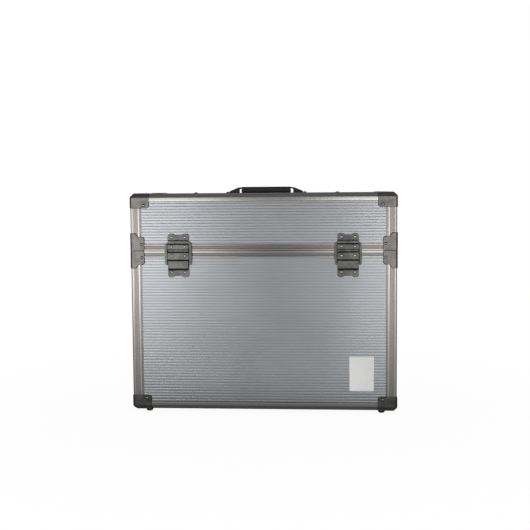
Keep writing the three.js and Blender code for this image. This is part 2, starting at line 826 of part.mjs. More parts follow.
// Body
const bodyBoardTop = seamZ - rimWeb - seatGap;
const lidBoardLow = seamZ + rimWeb + seatGap;
addBoards(body, 'body', bottomZ + boardEdge, bodyBoardTop);
addFlatBoard(body, 'body_bottom_board', bottomZ + boardRecess, bottomZ + boardRecess + boardThickness);
add(body, 'bottom_edge_frame', frameRing(edgeProfile(bottomZ, -1)), anodised);
add(body, 'body_rim_frame', frameRing(rimProfile(bodyRimHeight, -1, true)), anodised);
addPosts(body, 'body', bottomZ + edgeFace + seatGap, seamZ - bodyRimHeight - seatGap);
addCaps(body, 'bottom', -1);
addGuides(body, 'lower', -1, lowerGuideGap);
addFeet();
addLining(body, 'body_lining', bottomZ + lipBack + seatGap, seamZ - bodyLiningSetback, 1);
addPlate();

// Lid
addBoards(lid, 'lid', lidBoardLow, topZ - boardEdge);
addFlatBoard(lid, 'lid_top_board', topZ - boardRecess, topZ - boardRecess - boardThickness);
add(lid, 'top_edge_frame', frameRing(edgeProfile(topZ, 1)), anodised);
add(lid, 'lid_rim_frame', frameRing(rimProfile(lidRimHeight, 1, false)), anodised);
addPosts(lid, 'lid', seamZ + lidRimHeight + seatGap, topZ - edgeFace - seatGap);
addCaps(lid, 'top', 1);
addGuides(lid, 'upper', 1, upperGuideGap);
addLining(lid, 'lid_lining', topZ - lipBack - seatGap, seamZ + lidLiningSetback, -1);

// Hardware
addLatches();
addHinges();
addHandle();

export default model;
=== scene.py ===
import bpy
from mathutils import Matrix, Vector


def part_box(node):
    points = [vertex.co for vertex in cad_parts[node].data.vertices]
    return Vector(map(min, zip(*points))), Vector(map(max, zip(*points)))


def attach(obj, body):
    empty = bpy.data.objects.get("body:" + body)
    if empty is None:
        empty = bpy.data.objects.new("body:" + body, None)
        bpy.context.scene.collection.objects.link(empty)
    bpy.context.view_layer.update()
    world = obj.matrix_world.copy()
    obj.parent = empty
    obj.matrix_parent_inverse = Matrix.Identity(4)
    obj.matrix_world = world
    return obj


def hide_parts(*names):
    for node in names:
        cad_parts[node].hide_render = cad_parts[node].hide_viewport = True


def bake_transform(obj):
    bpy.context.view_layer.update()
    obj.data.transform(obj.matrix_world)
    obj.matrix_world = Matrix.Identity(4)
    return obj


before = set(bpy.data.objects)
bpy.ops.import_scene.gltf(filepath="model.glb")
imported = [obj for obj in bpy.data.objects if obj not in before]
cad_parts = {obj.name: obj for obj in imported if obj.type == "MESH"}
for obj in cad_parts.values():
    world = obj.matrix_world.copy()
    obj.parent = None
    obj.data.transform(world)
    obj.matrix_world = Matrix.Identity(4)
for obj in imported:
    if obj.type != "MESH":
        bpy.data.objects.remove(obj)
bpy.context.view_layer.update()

import math

import bmesh
import bpy
import numpy as np
from bpy.props import FloatProperty, FloatVectorProperty, IntProperty, PointerProperty
from mathutils import Matrix, Vector

bl_info = {
    "name": "Carrying case",
    "version": (1, 0, 0),
    "blender": (4, 5, 0),
    "location": "View3D > Sidebar > Case",
    "description": "Ribbed boards, profiles, fittings, handle and stage of a carrying case",
    "category": "Object",
}

# Places of the frame, in metres
MM = 0.001
TOP_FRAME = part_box("top_edge_frame")
HALF_X = TOP_FRAME[1][0]
HALF_Y = TOP_FRAME[1][1]
TOP_Z = TOP_FRAME[1][2]
BOTTOM_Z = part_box("bottom_edge_frame")[0][2]
SEAM_GAP = 0.6 * MM
SEAM_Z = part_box("lid_rim_frame")[0][2] - SEAM_GAP / 2
CORNERS = {"front_left": (-1, -1), "front_right": (1, -1), "rear_left": (-1, 1), "rear_right": (1, 1)}
SIDES = {"left": -1, "right": 1}

# The slot that holds a board, and the lip behind it, as insets from a profile's outer face
SLOT_FRONT = 1.3 * MM
SLOT_BACK = 6.9 * MM
LIP_BACK = 8.3 * MM
CORE = 9 * MM
LIP_SETBACK = 3 * MM
CORNER_RADIUS = 3 * MM
EDGE_BEVEL = 7.2 * MM

POST_WIDTH = 22.5 * MM
POST_STEPS = 60
RIM_STEPS = 44
RIM_WEB = 5 * MM
EDGE_FACE = 16.7 * MM
BAND_STEP = 1.0           # width of the slope between a band and the groove beside it, in mm

# Corner caps, guides and latches: sizes, and how far their sheets stand off the profiles
CAP_WIDE = 38 * MM
CAP_TALL = 29 * MM
CAP_OUT = 1.2 * MM
# CAP_LINE and the guide lines below: widths of painted shadow lines past the sheets' edges
CAP_LINE = 0.5 * MM       # the dark line past a cap's edge
CAP_LINE_OUT = 0.2 * MM
CAP_RADIUS = 6 * MM
CAP_RIVET_INSET = 28.5 * MM
CAP_RIVET_DROP = 23.5 * MM
GUIDE_REACH = 27.4 * MM
GUIDE_OUT = 1.4 * MM
GUIDE_LINE = 0.75 * MM
GUIDE_LINE_OUT = 0.25 * MM
GUIDE_SHEET = 1.1 * MM
LATCH_RIVET_APART = 13.4 * MM
PLATE_RADIUS = 2 * MM
SHEET_EDGE = 0.25 * MM    # the rounding of a pressed sheet's edges
ROUND_STEPS = 6           # steps round the corner of a plan
JOIN = 1e-6               # points nearer than this are one

# Edges sharper than these are rounded, or shaded sharp, and faces flatter than the last are joined
BEVEL_ANGLE = math.radians(35)
SHARP_ANGLE = math.radians(32)
FLAT_ANGLE = math.radians(1)

# Numbers that a point carries. Over 0: on the cap shoulders, wear with a painted highlight; on the
# profiles, the share of the raised band's colour. Under 0: painted shade round corners and edges
SHOULDER_WEAR_AND_HIGHLIGHT = 0.5
CORNER_PAINTED_SHADE = -1
POST_CORNER_PAINTED_SHADE = -0.7
RIM_FAR_BRIGHT = 0.6
RIM_NEAR_BRIGHT = 0.7
EDGE_BORDER_PAINTED_SHADE = -0.8

# Colours of the painted shadow lines along edges and seams, and in the latches' gaps
SHADOW_LINE_COLOR = (0.008, 0.008, 0.008)
GAP_SHADOW_COLOR = (0.006, 0.006, 0.006)


def smooth(x, low, high):
    """Rises from 0 at low to 1 at high with level ends: three t squared less two t cubed."""
    t = np.clip((x - low) / (high - low), 0, 1)
    return t * t * (3 - 2 * t)


def rounded(points, radii, steps=4):
    """Each corner of a closed outline becomes a curve between a point before it and one after it:
    (1 - t) squared of the first, 2t(1 - t) of the corner and t squared of the second."""
    points = np.asarray(points, float)
    before = np.roll(points, 1, axis=0) - points
    after = np.roll(points, -1, axis=0) - points
    back = np.linalg.norm(before, axis=1)
    ahead = np.linalg.norm(after, axis=1)
    reach = np.minimum(np.broadcast_to(radii, len(points)), 0.48 * np.minimum(back, ahead))
    start = points + before * (reach / back)[:, None]
    end = points + after * (reach / ahead)[:, None]
    t = np.linspace(0, 1, steps + 1)[None, :, None]
    curve = (1 - t) ** 2 * start[:, None] + 2 * t * (1 - t) * points[:, None] + t ** 2 * end[:, None]
    return curve.reshape(-1, 2)


def bulged(value, power):
    """A cosine or sine whose size is raised to a power, for sections between round and square."""
    return np.sign(value) * np.abs(value) ** power


def spread(x, y, z):
    """Points from coordinates that are given by row, by column or by both."""
    return np.stack(np.broadcast_arrays(x, y, z), axis=-1)


class Shell:
    """The points and faces of one piece, gathered as arrays. marks is a number at each point."""

    def __init__(self):
        self.points = []
        self.marks = []
        self.faces = []
        self.count = 0

    def grid(self, points, wrap_rows=False, wrap_columns=False, marks=0.0):
        """Rows by columns of points, with a four-sided face between each four neighbours."""
        rows, columns = points.shape[:2]
        at = np.arange(rows * columns).reshape(rows, columns) + self.count
        whole = np.vstack([at, at[:1]]) if wrap_rows else at
        whole = np.hstack([whole, whole[:, :1]]) if wrap_columns else whole
        quads = np.stack([whole[:-1, :-1], whole[1:, :-1], whole[1:, 1:], whole[:-1, 1:]], axis=-1)
        self.faces += quads.reshape(-1, 4).tolist()
        self.points.append(points.reshape(-1, 3))
        self.marks.append(np.broadcast_to(marks, (rows, columns)).reshape(-1))
        self.count += rows * columns
        return at

    def close(self, loop):
        """One face over a loop of points."""
        self.faces.append(np.asarray(loop).tolist())

    def mesh(self, name):
        """A mesh of the gathered points and faces."""
        mesh = bpy.data.meshes.new(name)
        mesh.from_pydata(np.concatenate(self.points).tolist(), [], self.faces)
        return mesh


AXES = {"x": (0, 1, 2), "y": (1, 0, 2), "z": (2, 0, 1)}


def carried(shell, outline, axis, start, end, marks=0.0):
    """A closed outline in the two other coordinates, carried straight along an axis: every point
    keeps its place in the outline while the coordinate along the axis goes from start to end."""
    along, first, second = AXES[axis]
    points = np.empty((2, len(outline), 3))
    points[..., along] = np.array([start, end])[:, None]
    points[..., first] = outline[:, 0]
    points[..., second] = outline[:, 1]
    at = shell.grid(points, wrap_columns=True, marks=marks)
    shell.close(at[0])
    shell.close(at[1][::-1])


def tube(points):
    """A shell of closed sections, one for each row, with a face over its first and its last one."""
    shell = Shell()
    at = shell.grid(points, wrap_columns=True)
    shell.close(at[0])
    shell.close(at[-1][::-1])
    return shell


def turned(shell, profile, centre, direction, steps):
    """A profile of (radius, height) turned about a line: the centre, plus the height along the
    direction, plus the radius times the cosine and sine of the angle along two cross directions."""
    profile = np.asarray(profile, float)
    along = np.asarray(direction, float)
    along = along / np.linalg.norm(along)
    across = np.cross(along, np.eye(3)[np.argmin(np.abs(along))])
    across = across / np.linalg.norm(across)
    other = np.cross(along, across)
    angle = np.linspace(0, 2 * np.pi, steps, endpoint=False)[None, :, None]
    radius = profile[:, 0][:, None, None]
    height = profile[:, 1][:, None, None]
    spoke = np.cos(angle) * across + np.sin(angle) * other
    shell.grid(np.asarray(centre) + height * along + radius * spoke, wrap_columns=True)


def round_path(insets, half_x, half_y, radius):
    """Plan points of a rounded rectangle at each inset from its outline. A corner's radius is the
    outline's radius less the inset, and never below 0; its centre lies that far in from both sides."""
    insets = np.asarray(insets, float)[:, None]
    r = np.maximum(radius - insets, 0)
    quarter = np.linspace(0, np.pi / 2, ROUND_STEPS + 1)
    angle = np.concatenate([quarter + k * np.pi / 2 for k in range(4)])[None, :]
    side_x = np.repeat([1, -1, -1, 1], ROUND_STEPS + 1)[None, :]
    side_y = np.repeat([1, 1, -1, -1], ROUND_STEPS + 1)[None, :]
    x = side_x * (half_x - insets - r) + r * np.cos(angle)
    y = side_y * (half_y - insets - r) + r * np.sin(angle)
    return x, y


def framed(profile, origin, way, marks=0.0):
    """A shell that carries a closed profile round the case's rounded outline. A point of the profile
    is an inset and a height, which counts from the origin up, or down where the way is -1."""
    x, y = round_path(profile[:, 0], HALF_X, HALF_Y, CORNER_RADIUS)
    shell = Shell()
    points = spread(x, y, origin + way * profile[:, 1:])
    shell.grid(points, wrap_rows=True, wrap_columns=True, marks=marks)
    return shell


def middle_x(node):
    """The middle of a node's box across the case."""
    low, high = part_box(node)
    return (low[0] + high[0]) / 2


def tidied(mesh, outward):
    """Merges doubles and turns the faces outwards. outward gives the way for an open sheet."""
    work = bmesh.new()
    work.from_mesh(mesh)
    bmesh.ops.remove_doubles(work, verts=work.verts, dist=JOIN)
    bmesh.ops.recalc_face_normals(work, faces=work.faces)
    if outward is not None:
        total = sum((face.normal * face.calc_area() for face in work.faces), Vector((0, 0, 0)))
        if total.dot(Vector(outward)) < 0:
            bmesh.ops.reverse_faces(work, faces=work.faces)
    work.to_mesh(mesh)
    work.free()


def bevelled(obj, width):
    """Rounds the sharp edges of a piece."""
    edge = obj.modifiers.new("rounded edges", "BEVEL")
    edge.width = width
    edge.segments = 2
    edge.limit_method = "ANGLE"
    edge.angle_limit = BEVEL_ANGLE
    edge.harden_normals = True


def placed(name, mesh, material, body, stands_for):
    """Puts a finished mesh into the scene, on its body, with its finish."""
    mesh.shade_smooth()
    mesh.set_sharp_from_angle(angle=SHARP_ANGLE)
    mesh.materials.append(material)
    obj = bpy.data.objects.new(name, mesh)
    bpy.context.scene.collection.objects.link(obj)
    if body:
        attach(obj, body)
    if stands_for:
        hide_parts(*stands_for)
    return obj


def piece(name, shell, material, body, stands_for=(), outward=None):
    """A new piece from a shell's arrays."""
    mesh = shell.mesh(name)
    raised = mesh.attributes.new("raised", "FLOAT", "POINT")
    raised.data.foreach_set("value", np.concatenate(shell.marks).astype(np.float32))
    tidied(mesh, outward)
    return placed(name, mesh, material, body, stands_for)


def softened(name, node, material, body, width):
    """A copy of a node's solid with its flat faces joined and its edges rounded."""
    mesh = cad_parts[node].data.copy()
    mesh.name = name
    mesh.materials.clear()
    work = bmesh.new()
    work.from_mesh(mesh)
    bmesh.ops.remove_doubles(work, verts=work.verts, dist=JOIN)
    bmesh.ops.dissolve_limit(work, angle_limit=FLAT_ANGLE, verts=work.verts, edges=work.edges)
    work.to_mesh(mesh)
    work.free()
    bevelled(placed(name, mesh, material, body, (node,)), width)


class Value:
    """A socket in a material. Each operator adds one Math node and gives its result."""

    def __init__(self, nodes, socket):
        self.nodes = nodes
        self.socket = socket

    def math(self, operation, *terms):
        return self.nodes.add("ShaderNodeMath", {"operation": operation}, dict(enumerate(terms)))

    def __add__(self, other):
        return self.math("ADD", self, other)

    def __sub__(self, other):
        return self.math("SUBTRACT", self, other)

    def __rsub__(self, other):
        return self.math("SUBTRACT", other, self)

    def __mul__(self, other):
        return self.math("MULTIPLY", self, other)

    __radd__ = __add__
    __rmul__ = __mul__

    def most(self, other):
        return self.math("MAXIMUM", self, other)

    def absolute(self):
        return self.math("ABSOLUTE", self)

    def ramped(self, low, high):
        """0 below low, 1 above high, and a smooth rise between."""
        settings = {"interpolation_type": "SMOOTHSTEP"}
        return self.nodes.add("ShaderNodeMapRange", settings, {0: self, 1: low, 2: high})


class Nodes:
    """The node tree of a material or world."""

    def __init__(self, tree):
        self.tree = tree
        tree.nodes.clear()

    def add(self, kind, settings, inputs, output=0):
        """Adds a node: its settings first, then the values or links of its sockets."""
        node = self.tree.nodes.new(kind)
        for key, value in settings.items():
            setattr(node, key, value)
        for key, value in inputs.items():
            if isinstance(value, Value):
                self.tree.links.new(value.socket, node.inputs[key])
            else:
                node.inputs[key].default_value = value
        return Value(self, node.outputs[output]) if node.outputs else None

    def mixed(self, share, first, second):
        """A colour between two, by share."""
        def four(color):
            return color if isinstance(color, Value) else (*color, 1)
        settings = {"data_type": "RGBA"}
        return self.add("ShaderNodeMix", settings, {0: share, 6: four(first), 7: four(second)}, 2)

    def noise(self, stretch, detail, rough=0.5):
        """Noise from 0 to 1 over the piece, with this many waves per metre along x, y and z."""
        place = self.add("ShaderNodeTexCoord", {}, {}, "Object")
        scaled = self.add("ShaderNodeMapping", {}, {"Vector": place, "Scale": stretch})
        inputs = {"Vector": scaled, "Scale": 1.0, "Detail": detail, "Roughness": rough}
        return self.add("ShaderNodeTexNoise", {}, inputs, "Fac")

    def rays(self):
        """Three values that are 1 for camera rays, glossy rays and transmission rays, else 0."""
        return [self.add("ShaderNodeLightPath", {}, {}, f"Is {kind} Ray")
                for kind in ("Camera", "Glossy", "Transmission")]

    def white(self, kind, strength):
        """White light from an emission or background node."""
        return self.add(kind, {}, {"Color": (1, 1, 1, 1), "Strength": strength})

    def bump(self, height, strength, distance):
        """The surface's normal, tilted by the slope of a height."""
        inputs = {"Strength": strength, "Distance": distance, "Height": height}
        return self.add("ShaderNodeBump", {}, inputs)


FINISHES = {}


def finish(name, build):
    """A material from a function that gives the values and links of the surface shader."""
    if name in FINISHES:
        return FINISHES[name]
    material = FINISHES[name] = bpy.data.materials.new(name)
    material.use_nodes = True
    nodes = Nodes(material.node_tree)
    shader = nodes.add("ShaderNodeBsdfPrincipled", {}, build(nodes))
    nodes.add("ShaderNodeOutputMaterial", {}, {"Surface": shader})
    return material


def shade(color, factor):
    """A colour made darker or brighter, with no channel over 1."""
    return tuple(min(channel * factor, 1) for channel in color)


LEVEL_LINES = (6, 6, 1500)
UPRIGHT_LINES = (1500, 1500, 5)
CLOUDS = (9, 9, 9)
SPECKS = (420, 420, 420)


def marked(nodes):
    """The number that each point of a piece carries."""
    return nodes.add("ShaderNodeAttribute", {"attribute_name": "raised"}, {}, "Fac")


def shadow_black(name, color):
    """Matt black for painted shadow lines along edges and in the gaps of the latches."""
    return moulded(name, color, 0.8, 900, 0.00002)


def ribbed_sheet(color):
    """Satin aluminium sheet: drawn lines along the ribs, painted shade in the grooves, cool grey, faint
    clouds in its gloss.
    """
    def build(nodes):
        lines = nodes.noise(LEVEL_LINES, 3)
        clouds = nodes.noise(CLOUDS, 3)
        share = (0.35 * lines + 0.65 * clouds).ramped(0.3, 0.7)
        tone = nodes.mixed(share, shade(color, 0.94), shade(color, 1.06))
        land = marked(nodes)
        return {
            # The grooves are painted 9% darker than the lands: painted shade
            "Base Color": nodes.mixed(land, shade(color, 0.91), tone),
            "Metallic": 1.0,
            "Roughness": 0.25 + 0.04 * lines + 0.04 * clouds,
            "Normal": nodes.bump(lines, 0.2, 0.00001),
        }
    return finish("ribbed_sheet", build)


def anodised(name, stretch, rough, color, groove_color):
    """Anodised profile: drawn lines along its length, brighter and smoother on the raised bands
    (marks over 0), and painted shade round the corners (marks under 0)."""
    def build(nodes):
        lines = nodes.noise(stretch, 3)
        clouds = nodes.noise(CLOUDS, 2)
        raised = marked(nodes)
        low = nodes.mixed(lines, shade(groove_color, 0.9), shade(groove_color, 1.1))
        high = nodes.mixed(lines * 0.6 + clouds * 0.4, shade(color, 0.94), shade(color, 1.06))
        tone = nodes.mixed(raised, low, high)
        return {
            # Marks under 0 mix in a painted shade
            "Base Color": nodes.mixed(0.0 - raised, tone, shade(groove_color, 0.3)),
            "Metallic": 1.0,
            "Roughness": rough + 0.11 - 0.11 * raised.most(0.0) + 0.05 * lines,
            "Normal": nodes.bump(lines, 0.2, 0.00001),
        }
    return finish(name, build)


def coated_steel(name, color, rough, wear_and_highlight_color):
    """Plated or coated steel: fine pitting, soft smudges, paler where marks are over 0 (rubbed wear with
    a painted highlight) and dark where marks are under 0 (painted shade)."""
    def build(nodes):
        wear_and_painted_light = marked(nodes)
        specks = nodes.noise(SPECKS, 3, 0.6)
        smudges = nodes.noise((60, 60, 60), 3, 0.6)
        tone = nodes.mixed(smudges.ramped(0.3, 0.7), shade(color, 0.72), shade(color, 1.2))
        wear_and_highlight = (specks.ramped(0.62, 0.75) * smudges.ramped(0.5, 0.7) * 0.5).most(wear_and_painted_light)
        clean = nodes.mixed(wear_and_highlight, tone, wear_and_highlight_color)
        return {
            # Marks under 0 mix in a painted shade
            "Base Color": nodes.mixed(0.0 - wear_and_painted_light, clean, shade(color, 0.12)),
            "Metallic": 1.0,
            "Roughness": rough + 0.1 * smudges - 0.05 * specks,
            "Normal": nodes.bump(specks, 0.15, 0.00002),
        }
    return finish(name, build)


def bright_steel(name, color, rough):
    """Bare steel with fine turning marks."""
    def build(nodes):
        specks = nodes.noise(SPECKS, 2)
        return {
            "Base Color": nodes.mixed(specks, shade(color, 0.92), shade(color, 1.08)),
            "Metallic": 1.0,
            "Roughness": rough + 0.12 * specks,
        }
    return finish(name, build)


def moulded(name, color, rough, grain, depth):
    """Rubber or plastic from a grained mould: fine pebbles, with dull and glossier patches."""
    def build(nodes):
        pebbles = nodes.noise((grain, grain, grain), 2)
        patches = nodes.noise((40, 40, 40), 3)
        tone = pebbles * 0.5 + patches * 0.5
        return {
            "Base Color": nodes.mixed(tone.ramped(0.3, 0.7), shade(color, 0.8), shade(color, 1.25)),
            "Roughness": rough + 0.12 * patches,
            "Specular IOR Level": 0.4,
            "Normal": nodes.bump(pebbles, 0.4, depth),
        }
    return finish(name, build)


def napped(color):
    """Flocked foam: a short nap whose tufts catch the light, in soft brushed patches."""
    def build(nodes):
        nap = nodes.noise((900, 900, 900), 3, 0.7)
        brushed = nodes.noise((14, 14, 14), 3)
        tone = nap * 0.5 + brushed * 0.5
        return {
            "Base Color": nodes.mixed(tone.ramped(0.35, 0.65), shade(color, 0.7), shade(color, 1.5)),
            "Roughness": 0.95,
            "Sheen Weight": 0.35,
            "Specular IOR Level": 0.2,
            "Normal": nodes.bump(nap, 0.6, 0.0004),
        }
    return finish("flocked_lining", build)


def brushed_plate(color):
    """Satin plate, brushed across, with faint clouds in its gloss."""
    def build(nodes):
        lines = nodes.noise((30, 30, 2600), 3)
        clouds = nodes.noise((45, 45, 45), 3)
        return {
            "Base Color": nodes.mixed(clouds, shade(color, 0.93), shade(color, 1.05)),
            "Metallic": 0.75,
            "Roughness": 0.36 + 0.12 * lines,
            "Normal": nodes.bump(lines, 0.3, 0.00005),
        }
    return finish("brushed_plate", build)


def ribs(z, pitch, depth, share):
    """Height of a ribbed sheet: a low crown on each land, and between the lands a round groove.
    q is 1 in the middle of a groove and 0 in the middle of a land. Also the share of land."""
    q = np.abs(((z / pitch) % 1.0) - 0.5) * 2
    groove = smooth(q, 1 - share, 1.0)
    return 0.3 * depth * (1 - q ** 2) - depth * groove, 1 - groove


def add_board(settings, material, node, axis, across, outward, body):
    """A board with a ribbed face: the rib profile, closed by the plain back, carried along the ribs."""
    low, high = (np.array(corner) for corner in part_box(node))
    run = AXES[axis][0]
    rise = {"x": 0, "y": 1, "z": 2}[across]
    face = ({0, 1, 2} - {run, rise}).pop()
    outer, inner = (high[face], low[face]) if outward > 0 else (low[face], high[face])
    pitch = settings.rib_pitch
    steps = max(int((high[rise] - low[rise]) / pitch * settings.rib_steps), 2)
    place = np.linspace(low[rise], high[rise], steps)
    middle = (low[rise] + high[rise]) / 2
    height, land = ribs(place - middle, pitch, settings.rib_depth, settings.groove_share)
    level = outer + outward * (height - 0.05 * MM)
    outline = np.vstack([
        np.stack([level, place], axis=1),
        [[inner, high[rise]], [inner, low[rise]]],
    ])
    if AXES[axis][1] != face:
        outline = outline[:, ::-1]
    shell = Shell()
    carried(shell, outline, axis, low[run], high[run], np.append(land, [1, 1]))
    piece(node.replace("_board", "_ribbed_board"), shell, material, body, (node,))


def post_depth(s):
    """Depth of an upright profile's face at a distance s from the corner: a raised outer band, a
    sunk middle, a raised inner band and a sunk edge, with smooth steps between them. A band's crown
    falls with the square of the distance from its middle."""
    s = s / MM
    sunk_depth, edge_depth, crown_depth = 0.8, 1.1, 0.16
    outer_end, inner_start, inner_end = 6.4, 14.1, 19.4
    outer_middle, outer_half = 3.4, 3.1
    inner_middle, inner_half = 17.3, 2.2
    groove = smooth(s, outer_end, outer_end + BAND_STEP) - smooth(s, inner_start, inner_start + BAND_STEP)
    edge = smooth(s, inner_end, inner_end + BAND_STEP)
    from_outer, from_inner = s - outer_middle, np.abs(s - inner_middle)
    outer = (from_outer / outer_half) ** 2 * (from_outer > 0) * (from_outer < outer_half)
    inner = (from_inner / inner_half) ** 2 * (from_inner < inner_half)
    return (sunk_depth * groove + edge_depth * edge + crown_depth * (outer + inner)) * MM


def raised_share(depth):
    """1 on a raised band and 0 on a sunk one."""
    return 1 - smooth(depth, 0.25 * MM, 0.6 * MM)


def add_post(material, name, corner, low, high, body, node):
    """An upright profile seen from above, as insets from its two outer faces, carried upwards."""
    side_x, side_y = CORNERS[corner]
    width = POST_WIDTH
    s = np.linspace(CORNER_RADIUS, width, POST_STEPS)
    depth = post_depth(s)
    angle = np.linspace(0, np.pi / 2, 8)[1:-1]
    arc = CORNER_RADIUS * (1 - np.stack([np.cos(angle), np.sin(angle)], axis=1))
    front = np.stack([s, depth], axis=1)
    inner = np.array([
        [width, SLOT_FRONT], [CORE, SLOT_FRONT], [CORE, SLOT_BACK], [width - LIP_SETBACK, SLOT_BACK],
        [width - LIP_SETBACK, LIP_BACK], [LIP_BACK, LIP_BACK],
    ])
    outline = np.vstack([front[::-1, ::-1], arc, front, inner, inner[-2::-1, ::-1]])
    # The points round the corner's curve carry painted shade
    marks = np.concatenate([
        raised_share(depth[::-1]), np.full(len(arc), POST_CORNER_PAINTED_SHADE), raised_share(depth),
        np.zeros(2 * len(inner) - 1),
    ])
    plan = np.stack([side_x * (HALF_X - outline[:, 0]), side_y * (HALF_Y - outline[:, 1])], axis=1)
    shell = Shell()
    carried(shell, plan, "z", low, high, marks)
    piece(name, shell, material, body, (node,))


def band_depth(d, height, wide):
    """Depth of a rim profile's face at a distance d from the seam: raised bands along both edges,
    with smooth steps to the groove between them and crowns that fall with the square of the
    distance from a band's middle."""
    d, height, wide = d / MM, height / MM, wide / MM
    sunk_depth, near_crown, far_crown = 0.8, 0.08, 0.14
    face, far_wide, far_half = 0.3, 3.1, 1.6
    far_start = height - far_wide
    groove = smooth(d, wide, wide + BAND_STEP) - smooth(d, far_start - BAND_STEP, far_start)
    near = ((2 * d - wide - face) / (wide - face)) ** 2 * (d < wide)
    far = ((d - height + far_half) / far_half) ** 2 * (d > far_start)
    return (sunk_depth * groove + near_crown * near + far_crown * far) * MM


def add_rim(material, name, node, away, wide, tongue, body):
    """A rim profile, as insets and distances from the seam, carried round the case. Its band at the
    seam is this wide and brighter than the other one."""
    low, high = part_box(node)
    height = high[2] - SEAM_Z if away > 0 else SEAM_Z - low[2]
    face = SEAM_GAP / 2
    d = np.linspace(face, height, RIM_STEPS)
    outer = np.stack([band_depth(d, height, wide), d], axis=1)
    behind = [[SLOT_FRONT, height], [SLOT_FRONT, RIM_WEB], [SLOT_BACK, RIM_WEB],
              [SLOT_BACK, height - LIP_SETBACK], [LIP_BACK, height - LIP_SETBACK]]
    if tongue:
        front, back, shelf, rise = 8.9 * MM, 10.3 * MM, 6.4 * MM, 4.5 * MM
        behind += [[LIP_BACK, shelf], [back, shelf], [back, -rise], [front, -rise], [front, face]]
    else:
        behind += [[LIP_BACK, face]]
    profile = np.vstack([outer, behind])
    bright = np.where(d > height / 2, RIM_FAR_BRIGHT, RIM_NEAR_BRIGHT) * raised_share(outer[:, 0])
    marks = np.concatenate([bright, np.zeros(len(behind))])[:, None]
    piece(name, framed(profile, SEAM_Z, away, marks), material, body, (node,))


def add_seam(material, name, away, body):
    """The black edge of a rim at the seam, a painted shadow line: a thin profile that hardly stands off the
    rim.
    """
    proud, deep = -0.02 * MM, 1.2 * MM
    near, far = SEAM_GAP / 2 + proud, 0.5 * MM
    profile = np.array([[proud, near], [proud, far], [deep, far], [deep, near]])
    piece(name, framed(profile, SEAM_Z, away), material, body)


def add_edge(material, name, node, up, face_z, body):
    """An edge profile with a bevelled, softly rounded corner, carried round the case."""
    face, bevel, crown, ridge, land = EDGE_FACE, EDGE_BEVEL, 0.06 * MM, 1.2 * MM, 2.4 * MM
    outline = [
        [0, face], [crown, face - ridge], [0, face - land], [0, bevel], [bevel, 0],
        [face - land, 0], [face - ridge, crown], [face, 0], [face, SLOT_FRONT],
        [CORE, SLOT_FRONT], [CORE, SLOT_BACK], [face - LIP_SETBACK, SLOT_BACK],
        [face - LIP_SETBACK, LIP_BACK], [LIP_BACK, LIP_BACK], [LIP_BACK, face - LIP_SETBACK],
        [SLOT_BACK, face - LIP_SETBACK], [SLOT_BACK, CORE], [SLOT_FRONT, CORE], [SLOT_FRONT, face],
    ]
    radii = np.array([0.4, 0.2, 0.4, 1.6, 1.6, 0.4, 0.2, 0.4] + [0.1] * 11) * MM
    profile = rounded(outline, radii, 5)
    reach = profile.max(axis=1)[:, None]
    bright = 1 - smooth(reach, face - 1.5 * MM, face - 0.9 * MM)
    # The outer border of the face is painted dark: painted shade along the lip
    border = smooth(reach, face - 0.8 * MM, face - 0.4 * MM)
    marks = bright + EDGE_BORDER_PAINTED_SHADE * border
    piece(name, framed(profile, face_z, -up, marks), material, body, (node,))


def wrapped(insets, reach, side_x, side_y, arm_steps):
    """Plan points of a sheet that wraps a corner, one row for each inset: along the front from reach
    to the corner's curve, round it, and along the side back to reach."""
    insets = np.asarray(insets, float)[:, None]
    reach = np.asarray(reach, float)[:, None]
    r = np.maximum(CORNER_RADIUS - insets, 0)
    turn = insets + r
    t = arm_steps[None, :]
    arm = reach + (turn - reach) * t
    flat = np.broadcast_to(insets, arm.shape)
    angle = np.linspace(0, np.pi / 2, ROUND_STEPS + 1)[None, 1:-1]
    from_side = np.concatenate([arm, turn - r * np.sin(angle), flat[:, ::-1]], axis=1)
    from_front = np.concatenate([flat, turn - r * np.cos(angle), arm[:, ::-1]], axis=1)
    return side_x * (HALF_X - from_side), side_y * (HALF_Y - from_front)


def corner_cut(e, radius):
    """How far a rounded corner draws an edge back, at a distance e before the end."""
    inside = np.clip(radius - e, 0, radius)
    return radius - np.sqrt(radius ** 2 - inside ** 2)


